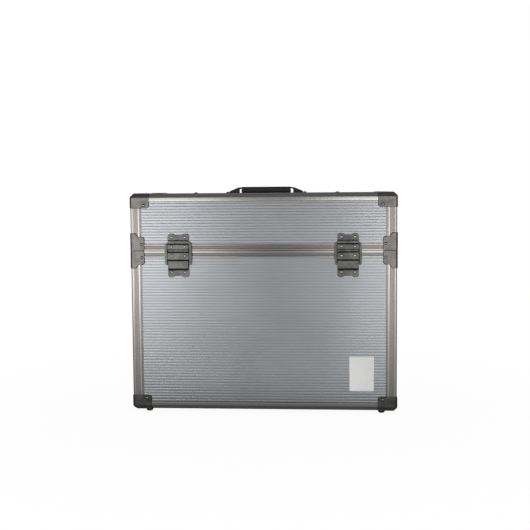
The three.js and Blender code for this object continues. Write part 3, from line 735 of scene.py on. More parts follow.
def cap_sheet(corner, up, face_z, wide, tall, out):
    """The sheet of a pressed corner: front and side flanges, a bevelled shoulder and a top flange.
    The line from the flange's lower edge over the shoulder is carried round the corner."""
    side_x, side_y = CORNERS[corner]
    radius = CAP_RADIUS
    bevel = EDGE_BEVEL - 0.5 * MM
    flange_rows, shoulder_rows, top_rows, arm_steps, curve_steps = 9, 12, 14, 8, 5
    arm, closing, softness, shaded_rows = 12 * MM, 60 * MM, 2.2 * MM, 12
    e = radius * (1 - np.cos(np.linspace(0, np.pi / 2, 7)))
    line = [[-out, arm], [-out, bevel], [bevel, -out], [arm, -out], [closing, closing]]
    curve = rounded(line, [0, softness, softness, 0, 0], curve_steps)
    shoulder = curve[curve_steps + 1:curve_steps + 1 + shoulder_rows]
    last = wide - radius * (1 - math.sqrt(0.5))
    flange = np.stack([np.full(flange_rows, -out), tall - np.r_[e, 10 * MM, 14 * MM]], axis=1)
    top = np.stack([np.linspace(14 * MM, last, top_rows), np.full(top_rows, -out)], axis=1)
    profile = np.vstack([flange, shoulder, top])
    # The shoulder rows carry wear with a painted highlight
    row_marks = np.repeat([0, SHOULDER_WEAR_AND_HIGHLIGHT, 0], [flange_rows, shoulder_rows, top_rows])
    ends = wide - corner_cut(tall - profile[:, 1], radius) - corner_cut(wide - profile[:, 0], radius)
    x, y = wrapped(profile[:, 0], ends, side_x, side_y, np.linspace(0, 1, arm_steps))
    wear_and_painted_light = np.repeat(row_marks[:, None], x.shape[1], axis=1)
    # The lowest rows round the corner's curve carry painted shade
    wear_and_painted_light[:shaded_rows, arm_steps:-arm_steps] = CORNER_PAINTED_SHADE
    shell = Shell()
    shell.grid(spread(x, y, face_z - up * profile[:, 1:]), marks=wear_and_painted_light)
    return shell


def guide_height(u):
    """Height of a guide over the seam at a distance u from the corner: a flat top, then a straight
    slope, plus a low bell curve, less a quarter circle at the end."""
    u = u / MM
    top, fall, slope_start, slope_end = 35.5, 8.4, 9, 16.2
    hump_height, hump_middle, hump_half = 1.2, 20.8, 3.0
    end_start, end_radius = 23.5, 4
    slope = top - fall * np.clip((u - slope_start) / (slope_end - slope_start), 0, 1)
    hump = hump_height * np.exp(-((u - hump_middle) / hump_half) ** 2) * (u > slope_end)
    past = np.clip(u - end_start, 0, end_radius - 0.1)
    drop = end_radius - np.sqrt(end_radius ** 2 - past ** 2)
    return (slope + hump - drop) * MM


def guide_sheet(side_x, away, gap, out, extra):
    """A sheet wrapped round a front corner at the seam. Its height follows the guide's outline, and
    its edge at the seam rises over the last millimetres of both ends like part of an ellipse."""
    reach = GUIDE_REACH + extra
    row_count, arm_steps = 5, 50
    rows = np.linspace(0, 1, row_count)
    arms = np.linspace(0, 1, arm_steps)
    x, y = wrapped(np.full(row_count, -out), np.full(row_count, reach), side_x, -1, arms)
    u = np.maximum(HALF_X - np.abs(x), HALF_Y - np.abs(y))
    round_end, lift = 2.2 * MM, 0.8
    rise = round_end - np.sqrt(round_end ** 2 - np.clip(u - reach + round_end, 0, round_end) ** 2)
    low = gap + lift * rise
    high = guide_height(np.maximum(u - extra, 0)) + extra
    z = SEAM_Z + away * (low + rows[:, None] * (high - low))
    marks = np.zeros(x.shape)
    # The curve round the corner carries painted shade
    marks[:, arm_steps:-arm_steps] = CORNER_PAINTED_SHADE
    shell = Shell()
    shell.grid(spread(x, y, z), marks=marks)
    return shell


def add_pressed(name, node, shell, line, finishes, thick, outward, body):
    """A pressed sheet with its thickness, and under its edge a black line of painted shadow."""
    material, dark = finishes
    piece(f"{name}_line", line, dark, body, (), outward)
    obj = piece(name, shell, material, body, (node,), outward)
    wall = obj.modifiers.new("sheet", "SOLIDIFY")
    wall.thickness = thick
    wall.offset = -1
    bevelled(obj, SHEET_EDGE)


def rivet_profile(radius, rise):
    """A domed head: part of a ball whose radius is (radius squared + rise squared) / 2 rise."""
    proud, sunk = 0.05 * MM, -0.2 * MM
    ball = (radius ** 2 + rise ** 2) / (2 * rise)
    out = np.linspace(0, radius, 8)[1:]
    dome = np.stack([out, np.sqrt(ball ** 2 - out ** 2) - ball + rise + proud], axis=1)
    return np.vstack([[[0, rise + proud]], dome, [[radius, sunk], [0, sunk]]])


def shadow_ring_profile(radius, wide):
    """The painted shadow round a head: a dark flat ring that hardly stands off the sheet."""
    under, proud, low = 0.3 * MM, 0.08 * MM, 0.05 * MM
    inner, outer = radius - under, radius + wide
    return np.array([[inner, 0], [inner, proud], [outer, low], [outer + low, 0]])


def add_turned(name, places, profile, steps, material, body):
    """The same turned form at each place, along its direction."""
    shell = Shell()
    for centre, direction in places:
        turned(shell, profile, centre, direction, steps)
    piece(name, shell, material, body)


class CaseSheets(bpy.types.PropertyGroup):
    rib_pitch: FloatProperty(
        name="Rib pitch", description="From one groove of the boards to the next",
        default=5.8 * MM, min=2 * MM, max=20 * MM, unit="LENGTH", precision=4)
    rib_depth: FloatProperty(
        name="Rib depth", description="Depth of the grooves",
        default=0.155 * MM, min=0, max=1.2 * MM, unit="LENGTH", precision=5)
    groove_share: FloatProperty(
        name="Groove share", description="Share of the pitch that a groove takes",
        default=0.42, min=0.1, max=0.9, subtype="FACTOR")
    rib_steps: IntProperty(
        name="Steps per rib", description="Points of the profile in each rib", default=12, min=6, max=24)
    color: FloatVectorProperty(
        name="Sheet colour", description="Reflection colour of the ribbed sheet",
        default=(0.226, 0.238, 0.25), min=0, max=1, size=3, subtype="COLOR")


class CaseProfiles(bpy.types.PropertyGroup):
    color: FloatVectorProperty(
        name="Band colour", description="Reflection colour of the raised bands",
        default=(0.214, 0.206, 0.198), min=0, max=1, size=3, subtype="COLOR")
    groove_color: FloatVectorProperty(
        name="Groove colour", description="Reflection colour between the raised bands",
        default=(0.142, 0.137, 0.13), min=0, max=1, size=3, subtype="COLOR")


class CaseFittings(bpy.types.PropertyGroup):
    cap_sheet: FloatProperty(
        name="Cap sheet", description="Thickness of the corner caps",
        default=0.9 * MM, min=0.3 * MM, max=1.5 * MM, unit="LENGTH", precision=4)
    rivet_radius: FloatProperty(
        name="Rivet radius", description="Radius of the rivet heads",
        default=2.2 * MM, min=MM, max=4 * MM, unit="LENGTH", precision=4)
    rivet_rise: FloatProperty(
        name="Rivet height", description="Height of the rivet heads",
        default=0.8 * MM, min=0.3 * MM, max=1.4 * MM, unit="LENGTH", precision=4)
    cap_color: FloatVectorProperty(
        name="Cap colour", description="Reflection colour of the corner caps and guides",
        default=(0.076, 0.075, 0.071), min=0, max=1, size=3, subtype="COLOR")
    latch_color: FloatVectorProperty(
        name="Latch colour", description="Reflection colour of the latches",
        default=(0.071, 0.071, 0.067), min=0, max=1, size=3, subtype="COLOR")
    rivet_color: FloatVectorProperty(
        name="Rivet colour", description="Reflection colour of the rivets",
        default=(0.34, 0.34, 0.33), min=0, max=1, size=3, subtype="COLOR")
    plate_color: FloatVectorProperty(
        name="Plate colour", description="Colour of the bare front plate",
        default=(0.57, 0.57, 0.57), min=0, max=1, size=3, subtype="COLOR")


class CaseHandle(bpy.types.PropertyGroup):
    grip_groove: FloatProperty(
        name="Grip groove", description="Depth of the fine grooves across the grip",
        default=0.35 * MM, min=0, max=MM, unit="LENGTH", precision=5)
    grip_pitch: FloatProperty(
        name="Grip pitch", description="From one groove of the grip to the next",
        default=4 * MM, min=2 * MM, max=12 * MM, unit="LENGTH", precision=4)
    color: FloatVectorProperty(
        name="Handle colour", description="Colour of the grip, strap and end housings",
        default=(0.013, 0.0135, 0.0125), min=0, max=1, size=3, subtype="COLOR")


class CaseStage(bpy.types.PropertyGroup):
    ambient: FloatProperty(
        name="Ambient", description="Level of the light from all around", default=0.6, min=0, max=2)
    around: FloatProperty(
        name="Walls", description="Level of the walls in reflections", default=0.58, min=0, max=2)
    ceiling: FloatProperty(
        name="Ceiling", description="Level of the ceiling in reflections", default=0.62, min=0, max=2)
    lamp_level: FloatProperty(
        name="Lamp level", description="Brightness of the soft lamps, as a share of white",
        default=3.4, min=0, max=20)
    floor_radius: FloatProperty(
        name="Floor radius", description="Radius of the floor", default=6.0, min=1, max=50, unit="LENGTH")
    floor_mirrored: FloatProperty(
        name="Mirrored floor", description="Level of the floor in reflections", default=0.56, min=0, max=2)
    # The level of the floor's painted pools of lamp light, seen in reflections
    floor_painted_light: FloatProperty(
        name="Lit floor", description="Level that the lamps add to the floor in reflections",
        default=2.2, min=0, max=5)
    floor_color: FloatVectorProperty(
        name="Floor colour", description="Colour of the floor",
        default=(0.86, 0.86, 0.86), min=0, max=1, size=3, subtype="COLOR")
    lens: FloatProperty(
        name="Lens", description="Focal length on a sensor 36 mm wide, in millimetres",
        default=64.58, min=10, max=300)


class CASE_OT_boards(bpy.types.Operator):
    """Add the ribbed boards of the body and the lid"""
    bl_idname = "case.boards"
    bl_label = "Ribbed boards"

    def execute(self, context):
        settings = context.scene.case_sheets
        material = ribbed_sheet(tuple(settings.color))
        for prefix, body in (("body", "case_body"), ("lid", "lid")):
            for side, axis, outward in (("front", "x", -1), ("rear", "x", 1),
                                        ("left", "y", -1), ("right", "y", 1)):
                add_board(settings, material, f"{prefix}_{side}_board", axis, "z", outward, body)
        add_board(settings, material, "body_bottom_board", "x", "y", -1, "case_body")
        add_board(settings, material, "lid_top_board", "x", "y", 1, "lid")
        return {"FINISHED"}


class CASE_OT_profiles(bpy.types.Operator):
    """Add the upright profiles, the edge frames and the rim frames"""
    bl_idname = "case.profiles"
    bl_label = "Profiles"

    def execute(self, context):
        settings = context.scene.case_profiles
        colors = tuple(settings.color), tuple(settings.groove_color)
        upright = anodised("anodised_upright", UPRIGHT_LINES, 0.17, *colors)
        level = anodised("anodised_level", LEVEL_LINES, 0.17, colors[0], shade(colors[1], 0.72))
        edge = anodised("anodised_edge", LEVEL_LINES, 0.22, shade(colors[0], 1.1), shade(colors[1], 0.72))
        for prefix, body in (("body", "case_body"), ("lid", "lid")):
            for corner in CORNERS:
                node = f"{prefix}_post_{corner}"
                low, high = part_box(node)
                add_post(upright, f"{prefix}_corner_profile_{corner}", corner, low[2], high[2], body, node)
        add_edge(edge, "top_edge_profile", "top_edge_frame", 1, TOP_Z, "lid")
        add_edge(edge, "bottom_edge_profile", "bottom_edge_frame", -1, BOTTOM_Z, "case_body")
        add_rim(level, "lid_rim_profile", "lid_rim_frame", 1, 3.1 * MM, False, "lid")
        add_rim(level, "body_rim_profile", "body_rim_frame", -1, 4.7 * MM, True, "case_body")
        # Painted shadow lines at the seam and past the sheets' edges
        dark = shadow_black("edge_shadow_line", SHADOW_LINE_COLOR)
        add_seam(dark, "lid_seam_line", 1, "lid")
        add_seam(dark, "body_seam_line", -1, "case_body")
        return {"FINISHED"}


class CASE_OT_corners(bpy.types.Operator):
    """Add the pressed corner caps and the guides at the seam"""
    bl_idname = "case.corners"
    bl_label = "Corner caps and guides"

    def execute(self, context):
        settings = context.scene.case_fittings
        color = tuple(settings.cap_color)
        steel = coated_steel("corner_steel", color, 0.22, shade(color, 2.2))
        finishes = steel, shadow_black("edge_shadow_line", SHADOW_LINE_COLOR)
        for prefix, up, face_z, body in (("top", 1, TOP_Z, "lid"), ("bottom", -1, BOTTOM_Z, "case_body")):
            for corner, (side_x, side_y) in CORNERS.items():
                shell = cap_sheet(corner, up, face_z, CAP_WIDE, CAP_TALL, CAP_OUT)
                wide, tall = CAP_WIDE + CAP_LINE, CAP_TALL + CAP_LINE
                line = cap_sheet(corner, up, face_z, wide, tall, CAP_LINE_OUT)
                add_pressed(f"{prefix}_corner_cap_{corner}", f"{prefix}_cap_{corner}", shell, line, finishes,
                            settings.cap_sheet, (side_x, side_y, up), body)
        guides = (("upper", 1, 0.35 * MM, "lid"), ("lower", -1, 0.45 * MM, "case_body"))
        for prefix, away, gap, body in guides:
            for side, side_x in SIDES.items():
                shell = guide_sheet(side_x, away, gap, GUIDE_OUT, 0)
                line = guide_sheet(side_x, away, gap, GUIDE_LINE_OUT, GUIDE_LINE)
                add_pressed(f"{prefix}_seam_guide_{side}", f"{prefix}_guide_{side}", shell, line, finishes,
                            GUIDE_SHEET, (side_x, -1, 0), body)
        return {"FINISHED"}


FOOT_INWARD = 2.2 * MM
# The foot's tip with its screw recess, as radius and height over the floor, in mm, and its upper
# edge, as radius and drop from its top
FOOT_TIP = ((0, 1.6), (2.2, 1.6), (2.5, 1.3), (2.7, 0.25), (3.0, 0), (5.0, 0), (5.6, 0.2), (6.1, 0.9))
FOOT_TOP = ((7.6, 1.2), (7.8, 0.4), (7.7, 0), (0, 0))


class CASE_OT_feet(bpy.types.Operator):
    """Add the rubber feet with their screw recesses"""
    bl_idname = "case.feet"
    bl_label = "Feet"

    def execute(self, context):
        material = moulded("foot_rubber", (0.02, 0.02, 0.02), 0.62, 900, 0.0001)
        for corner in CORNERS:
            node = f"foot_{corner}"
            low, high = (np.array(end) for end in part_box(node))
            centre = (low + high) / 2
            centre[0] -= CORNERS[corner][0] * FOOT_INWARD
            upper = np.array(FOOT_TOP) * [MM, -MM] + [0, high[2] - low[2]]
            shell = Shell()
            profile = np.vstack([np.array(FOOT_TIP) * MM, upper])
            turned(shell, profile, (centre[0], centre[1], low[2]), (0, 0, 1), 40)
            piece(f"rubber_foot_{corner}", shell, material, "case_body", (node,))
        return {"FINISHED"}


class CASE_OT_plate(bpy.types.Operator):
    """Add the bare plate with its raised border on the front"""
    bl_idname = "case.plate"
    bl_label = "Front plate"

    def execute(self, context):
        settings = context.scene.case_fittings
        low, high = (np.array(end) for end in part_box("front_plate"))
        half = (high - low) / 2
        middle = (high + low) / 2
        thick = high[1] - low[1]
        # Insets from the outline and heights: a wall, a round edge, a raised border, a sunk middle
        insets = np.array([0, 0, 0.25, 1.3, 1.7, 2.1]) * MM
        rise = np.array([0, thick - 0.3 * MM, thick, thick, thick - 0.25 * MM, thick - 0.3 * MM])
        x, z = round_path(insets, half[0], half[2], PLATE_RADIUS)
        shell = tube(spread(x + middle[0], (high[1] - rise)[:, None], z + middle[2]))
        material = brushed_plate(tuple(settings.plate_color))
        piece("front_name_plate", shell, material, "case_body", ("front_plate",))
        return {"FINISHED"}


class CASE_OT_latches(bpy.types.Operator):
    """Add the draw latches: keepers, bases, levers, links and pins"""
    bl_idname = "case.latches"
    bl_label = "Latches"

    def execute(self, context):
        settings = context.scene.case_fittings
        color = tuple(settings.latch_color)
        sheet = coated_steel("latch_steel", color, 0.24, shade(color, 2.0))
        pin = bright_steel("pin_steel", (0.35, 0.35, 0.34), 0.25)
        for side in SIDES:
            for name, node, body, width in (
                ("latch_keeper_plate", "latch_keeper", "lid", 0.4 * MM),
                ("latch_base_plate", "latch_base", "case_body", 0.4 * MM),
                ("latch_lever_plate", "latch_lever", f"lever_{side}", 0.35 * MM),
                ("latch_draw_link", "latch_link", f"link_{side}", 0.6 * MM),
            ):
                softened(f"{name}_{side}", f"{node}_{side}", sheet, body, width)
            softened(f"latch_cross_pin_{side}", f"latch_pin_{side}", pin, "case_body",
                     0.2 * MM)
        return {"FINISHED"}


# Bars of a latch, in mm: half the width, the back and the front as distances off the case's front
# face, the low and the high side as heights over the seam, and the radius of the front edges
ROLLED_EDGE = (20.6, 0.35, 4.6, -1.6, 1.9, 0.5)
# The gap bars below and the lip bar are black: painted shadow in the latch's gaps
UPPER_GAPS = (
    (20.9, 0.12, 0.7, -3.85, 2.75, 0.05),
    (20.9, 0.7, 5.65, 1.95, 3.2, 0.05),
    (20.9, 0.7, 0.95, 14.75, 21.3, 0.05),
)
LOWER_GAPS = ((20.9, 0.35, 0.55, -39.5, -26.5, 0.05), (20.9, 0.35, 0.6, -20.5, -17.5, 0.05))
SIDE_GAP = (0.75, 1.6, 4.75, -25, 14.4, 0.05)
SIDE_GAP_OUT = 22.1 * MM
LIP_SHADOW_HALF, LIP_SHADOW_BACK, LIP_SHADOW_FRONT = 20.3, 1.0, 0.04
LIP_SHADOW_LOW, LIP_SHADOW_HIGH, LIP_SHADOW_RADIUS = -38.2, -35.2, 0.3


class CASE_OT_latch_edges(bpy.types.Operator):
    """Add the rolled edge between each keeper and base, and black bars of painted shadow in the latch's gaps
    """
    bl_idname = "case.latch_edges"
    bl_label = "Latch edges"

    def execute(self, context):
        settings = context.scene.case_fittings
        color = tuple(settings.latch_color)
        sheet = coated_steel("latch_steel", color, 0.24, shade(color, 2.0))
        # Black bars stand in for the shade in the gaps
        black = shadow_black("latch_gap_shadow", GAP_SHADOW_COLOR)
        for side in SIDES:
            middle = middle_x(f"latch_keeper_{side}")
            lever_front = (-HALF_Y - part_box(f"latch_lever_{side}")[0][1]) / MM
            lip = (LIP_SHADOW_HALF, lever_front - LIP_SHADOW_BACK, lever_front + LIP_SHADOW_FRONT,
                   LIP_SHADOW_LOW, LIP_SHADOW_HIGH, LIP_SHADOW_RADIUS)
            ways = (-SIDE_GAP_OUT, SIDE_GAP_OUT)
            for name, material, body, bars in (
                ("latch_rolled_edge", sheet, "lid", [(0, ROLLED_EDGE)]),
                ("latch_upper_gap_shadow", black, "lid", [(0, bar) for bar in UPPER_GAPS]),
                ("latch_lower_gap_shadow", black, "case_body", [(0, bar) for bar in LOWER_GAPS]),
                ("latch_side_gap_shadows", black, f"link_{side}", [(way, SIDE_GAP) for way in ways]),
                ("latch_lip_shadow", black, f"lever_{side}", [(0, lip)]),
            ):
                shell = Shell()
                for way, bar in bars:
                    self.bar(shell, middle + way, *bar)
                piece(f"{name}_{side}", shell, material, body)
        return {"FINISHED"}

    @staticmethod
    def bar(shell, middle, half, back, front, low, high, radius):
        """A straight bar across the latch whose section is a rectangle with rounded corners."""
        back, front = -HALF_Y - back * MM, -HALF_Y - front * MM
        low, high = SEAM_Z + low * MM, SEAM_Z + high * MM
        corners = [[back, low], [front, low], [front, high], [back, high]]
        radii = np.array([0.05, radius, radius, 0.05]) * MM
        carried(shell, rounded(corners, radii), "x", middle - half * MM, middle + half * MM)


class CASE_OT_hinges(bpy.types.Operator):
    """Add the two rear hinges"""
    bl_idname = "case.hinges"
    bl_label = "Hinges"

    def execute(self, context):
        material = bright_steel("hinge_steel", (0.21, 0.21, 0.205), 0.28)
        for side in SIDES:
            for part, body in (("body", "case_body"), ("lid", "lid")):
                softened(f"hinge_{part}_plate_{side}", f"hinge_{part}_leaf_{side}", material,
                         body, 0.35 * MM)
        return {"FINISHED"}


HANDLE_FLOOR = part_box("lid_top_board")[1][2]
HOUSING_END = 79 * MM
HOUSING_MOUTH = 58 * MM
HOUSING_WALL = 1.3 * MM
HANDLE_HALF = 14 * MM
HANDLE_BASE = 0.3 * MM        # the gap under the housings
TAB_LENGTH, TAB_HALF, TAB_THICK, TAB_RADIUS = 7 * MM, 10 * MM, 2 * MM, 3 * MM
TAB_LAP = 0.6 * MM            # how far the tab runs into the housing's end
STRAP_TOP, STRAP_THICK, STRAP_HALF, STRAP_SLOPE = 14.5 * MM, 3.3 * MM, 11.5 * MM, 0.419
STRAP_END, STRAP_BEND = 76 * MM, 52.5 * MM
GRIP_LENGTH, GRIP_LOW, GRIP_HIGH = 104 * MM, 0.9 * MM, 12.0 * MM
SCREW_RADIUS, SCREW_RISE, SCREW_OUT = 3.1 * MM, 2.3 * MM, 3.4 * MM


class CASE_OT_handle(bpy.types.Operator):
    """Add the strap handle: end housings with tabs, the strap and the ribbed grip"""
    bl_idname = "case.handle"
    bl_label = "Handle"

    def execute(self, context):
        settings = context.scene.case_handle
        color = tuple(settings.color)
        plastic = moulded("handle_plastic", color, 0.38, 700, 0.00008)
        matt = moulded("strap_plastic", shade(color, 0.6), 0.6, 700, 0.00008)
        soft = moulded("grip_rubber", shade(color, 1.6), 0.55, 1100, 0.00012)
        screw = moulded("screw_black", shade(color, 0.5), 0.6, 700, 0.00008)
        for side, side_x in SIDES.items():
            self.housing(plastic, side, side_x)
            self.strap(matt, side, side_x)
            self.screw(screw, side, side_x)
        self.grip(settings, soft)
        return {"FINISHED"}

    @staticmethod
    def housing(material, side, side_x):
        """An arch across the handle whose height falls towards the end: the roof's height follows a
        straight slope with rounded shoulders. A flat tab goes on from its outer end."""
        end, mouth, half, wall, base = HOUSING_END, HOUSING_MOUTH, HANDLE_HALF, HOUSING_WALL, HANDLE_BASE
        nose, nose_height, rise, droop = 0.12, 4.8, 8.8, 1.6
        t = np.r_[0, 0.02, 0.06, np.linspace(nose, 1, 10)]
        x = end + (mouth - end) * t
        tall = (nose_height + rise * t - droop * (1 - smooth(t, 0, nose))) * MM

        def arch(height, width, radius):
            """Half-turn outline of each section: up one side, over with rounded shoulders, down."""
            angle = np.linspace(0, np.pi / 2, 6)
            side_y = np.concatenate([[width], width - radius + radius * np.cos(angle),
                                     -width + radius - radius * np.cos(angle[::-1]), [-width]])
            shoulder = radius * (1 - np.sin(angle))
            drop = np.concatenate([[0], shoulder, shoulder[::-1], [0]])
            z = np.maximum(height[:, None] - drop[None, :], base)
            z[:, 0] = z[:, -1] = base
            return np.broadcast_to(side_y, z.shape), z
        outer_y, outer_z = arch(tall, half, 3 * MM)
        inner_y, inner_z = arch(np.maximum(tall - wall, base), half - wall, 2 * MM)
        columns = outer_y.shape[1]
        x = x[:, None]
        outer = spread(side_x * x, outer_y, HANDLE_FLOOR + outer_z)
        inner = spread(side_x * np.minimum(x, end - wall), inner_y, HANDLE_FLOOR + inner_z)[::-1]
        ends = outer[:1].copy()
        ends[..., 1] *= 0.999
        ends[..., 2] = HANDLE_FLOOR + base
        inner_ends = inner[-1:].copy()
        inner_ends[..., 2] = HANDLE_FLOOR + base
        shell = Shell()
        loop = np.concatenate([ends, outer, inner, inner_ends])
        at = shell.grid(loop)
        shell.faces += [[int(at[r, c]), int(at[r + 1, c]), int(at[-2 - r, c]), int(at[-1 - r, c])]
                        for c in (0, columns - 1) for r in range(len(loop) // 2 - 1)]
        inside, outside = end - TAB_LAP, end + TAB_LENGTH
        corners = [[inside, -TAB_HALF], [outside, -TAB_HALF], [outside, TAB_HALF], [inside, TAB_HALF]]
        tab = rounded(corners, [0.2 * MM, TAB_RADIUS, TAB_RADIUS, 0.2 * MM])
        tab[:, 0] *= side_x
        carried(shell, tab, "z", HANDLE_FLOOR + base, HANDLE_FLOOR + base + TAB_THICK)
        obj = piece(f"handle_end_{side}", shell, material, "lid", (f"handle_housing_{side}",))
        bevelled(obj, 0.3 * MM)

    @staticmethod
    def strap(material, side, side_x):
        """Half of the strap: level over the grip, then down the housing's slope, with the bend
        averaged over a few points. Its section, the cosine and sine of the angle to the power of 2/5,
        is a flat band with rounded edges."""
        top, thick, steps, sides, smoothed = STRAP_TOP, STRAP_THICK, 77, 24, 7
        s = np.linspace(0, STRAP_END, steps)
        line = top - STRAP_SLOPE * np.maximum(s - STRAP_BEND, 0)
        line[smoothed // 2:-(smoothed // 2)] = np.convolve(line, np.ones(smoothed) / smoothed, mode="valid")
        angle = np.linspace(0, 2 * np.pi, sides, endpoint=False)
        bulge = 2 / 5
        across = STRAP_HALF * bulged(np.cos(angle), bulge)
        rise = thick / 2 * bulged(np.sin(angle), bulge)
        z = HANDLE_FLOOR + line[:, None] - thick / 2 + rise
        shell = tube(spread(side_x * s[:, None], across, z))
        obj = piece(f"handle_band_{side}", shell, material, None,
                    ("handle_strap",) if side == "left" else ())
        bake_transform(obj)

    @staticmethod
    def screw(material, side, side_x):
        """A low domed screw head on the tab."""
        shell = Shell()
        centre = (side_x * (HOUSING_END + SCREW_OUT), 0, HANDLE_FLOOR + HANDLE_BASE + TAB_THICK)
        turned(shell, rivet_profile(SCREW_RADIUS, SCREW_RISE), centre, (0, 0, 1), 24)
        piece(f"handle_screw_{side}", shell, material, "lid")

    @staticmethod
    def grip(settings, material):
        """A soft bar: its section, the cosine and sine of the angle to a power under 1, is a rounded
        rectangle with softer lower corners. It is shrunk a little in each cross groove and drawn in
        at both ends like a quarter ellipse."""
        half, length, low, high = HANDLE_HALF, GRIP_LENGTH, GRIP_LOW, GRIP_HIGH
        draw, draw_length = 2.4 * MM, 3 * MM
        steps = int(length / settings.grip_pitch) * 8
        x = np.linspace(-length / 2, length / 2, steps + 1)
        groove = settings.grip_groove * smooth(np.abs((x / settings.grip_pitch) % 1 - 0.5), 0.36, 0.5)
        groove = groove * (np.abs(x) < length / 2 - 5 * MM)
        near_end = np.clip((np.abs(x) - length / 2 + draw_length) / draw_length, 0, 1)
        ends = draw * (1 - np.sqrt(1 - near_end ** 2))
        shrink = (groove + ends)[:, None]
        angle = np.linspace(0, 2 * np.pi, 48, endpoint=False)[None, :]
        cos, sin = np.cos(angle), np.sin(angle)
        power = np.where(sin > 0, 0.42, 0.62)
        y = (half - shrink) * bulged(cos, power)
        middle = (low + high) / 2
        z = HANDLE_FLOOR + middle + ((high - low) / 2 - shrink) * bulged(sin, power)
        shell = tube(spread(x[:, None], y, z))
        piece("handle_soft_grip", shell, material, "handle", ("handle_grip",))


LINING_WALL = 6 * MM
LINING_RADIUS = 2 * MM


class CASE_OT_linings(bpy.types.Operator):
    """Add the flocked linings of the body and the lid"""
    bl_idname = "case.linings"
    bl_label = "Linings"

    def execute(self, context):
        material = napped((0.03, 0.031, 0.034))
        for prefix, up, body in (("body", 1, "case_body"), ("lid", -1, "lid")):
            node = f"{prefix}_lining"
            low, high = (np.array(end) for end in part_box(node))
            floor_z, mouth = (low[2], high[2]) if up > 0 else (high[2], low[2])
            # The section of the wall: up its outside, over the mouth and down to the floor's inside
            inner = floor_z + up * LINING_WALL
            profile = [[0, floor_z], [0, mouth], [LINING_WALL, mouth], [LINING_WALL, inner]]
            line = rounded(profile, [0.5 * MM, 2.6 * MM, 2.6 * MM, 4 * MM], 6)
            x, y = round_path(line[:, 0], high[0], high[1], LINING_RADIUS)
            shell = tube(spread(x, y, line[:, 1:]))
            obj = piece(f"{prefix}_soft_lining", shell, material, body, (node,))
        return {"FINISHED"}


FLUSH_RADIUS, FLUSH_RISE, FLUSH_SUNK = 2.9 * MM, 0.14 * MM, 0.12 * MM
# Widths of the dark rings of painted shadow round the rivet heads
SHADOW_RING, LATCH_SHADOW_RING = MM, 0.85 * MM
HEAD_APART, HEAD_SUNK, HEAD_RADIUS, HEAD_RISE = 151 * MM, 0.3 * MM, 6.5 * MM, 4.0 * MM
GUIDE_RIVET_INSET, GUIDE_RIVET_RISE = 22.8 * MM, 13.6 * MM
# Rows of latch rivets, as height from the seam and distance over the profiles
KEEPER_RIVETS = ((27.5 * MM, 2.2 * MM), (8.6 * MM, 5.6 * MM))
BASE_RIVETS = ((10.0 * MM, 5.6 * MM), (43.2 * MM, 2.2 * MM))
HINGE_RIVET_HEIGHTS = (11.5 * MM, 27 * MM)
HINGE_RIVET_APART, HINGE_OUT = 19 * MM, 1.8 * MM
DOME_STEPS, RING_STEPS = 20, 24


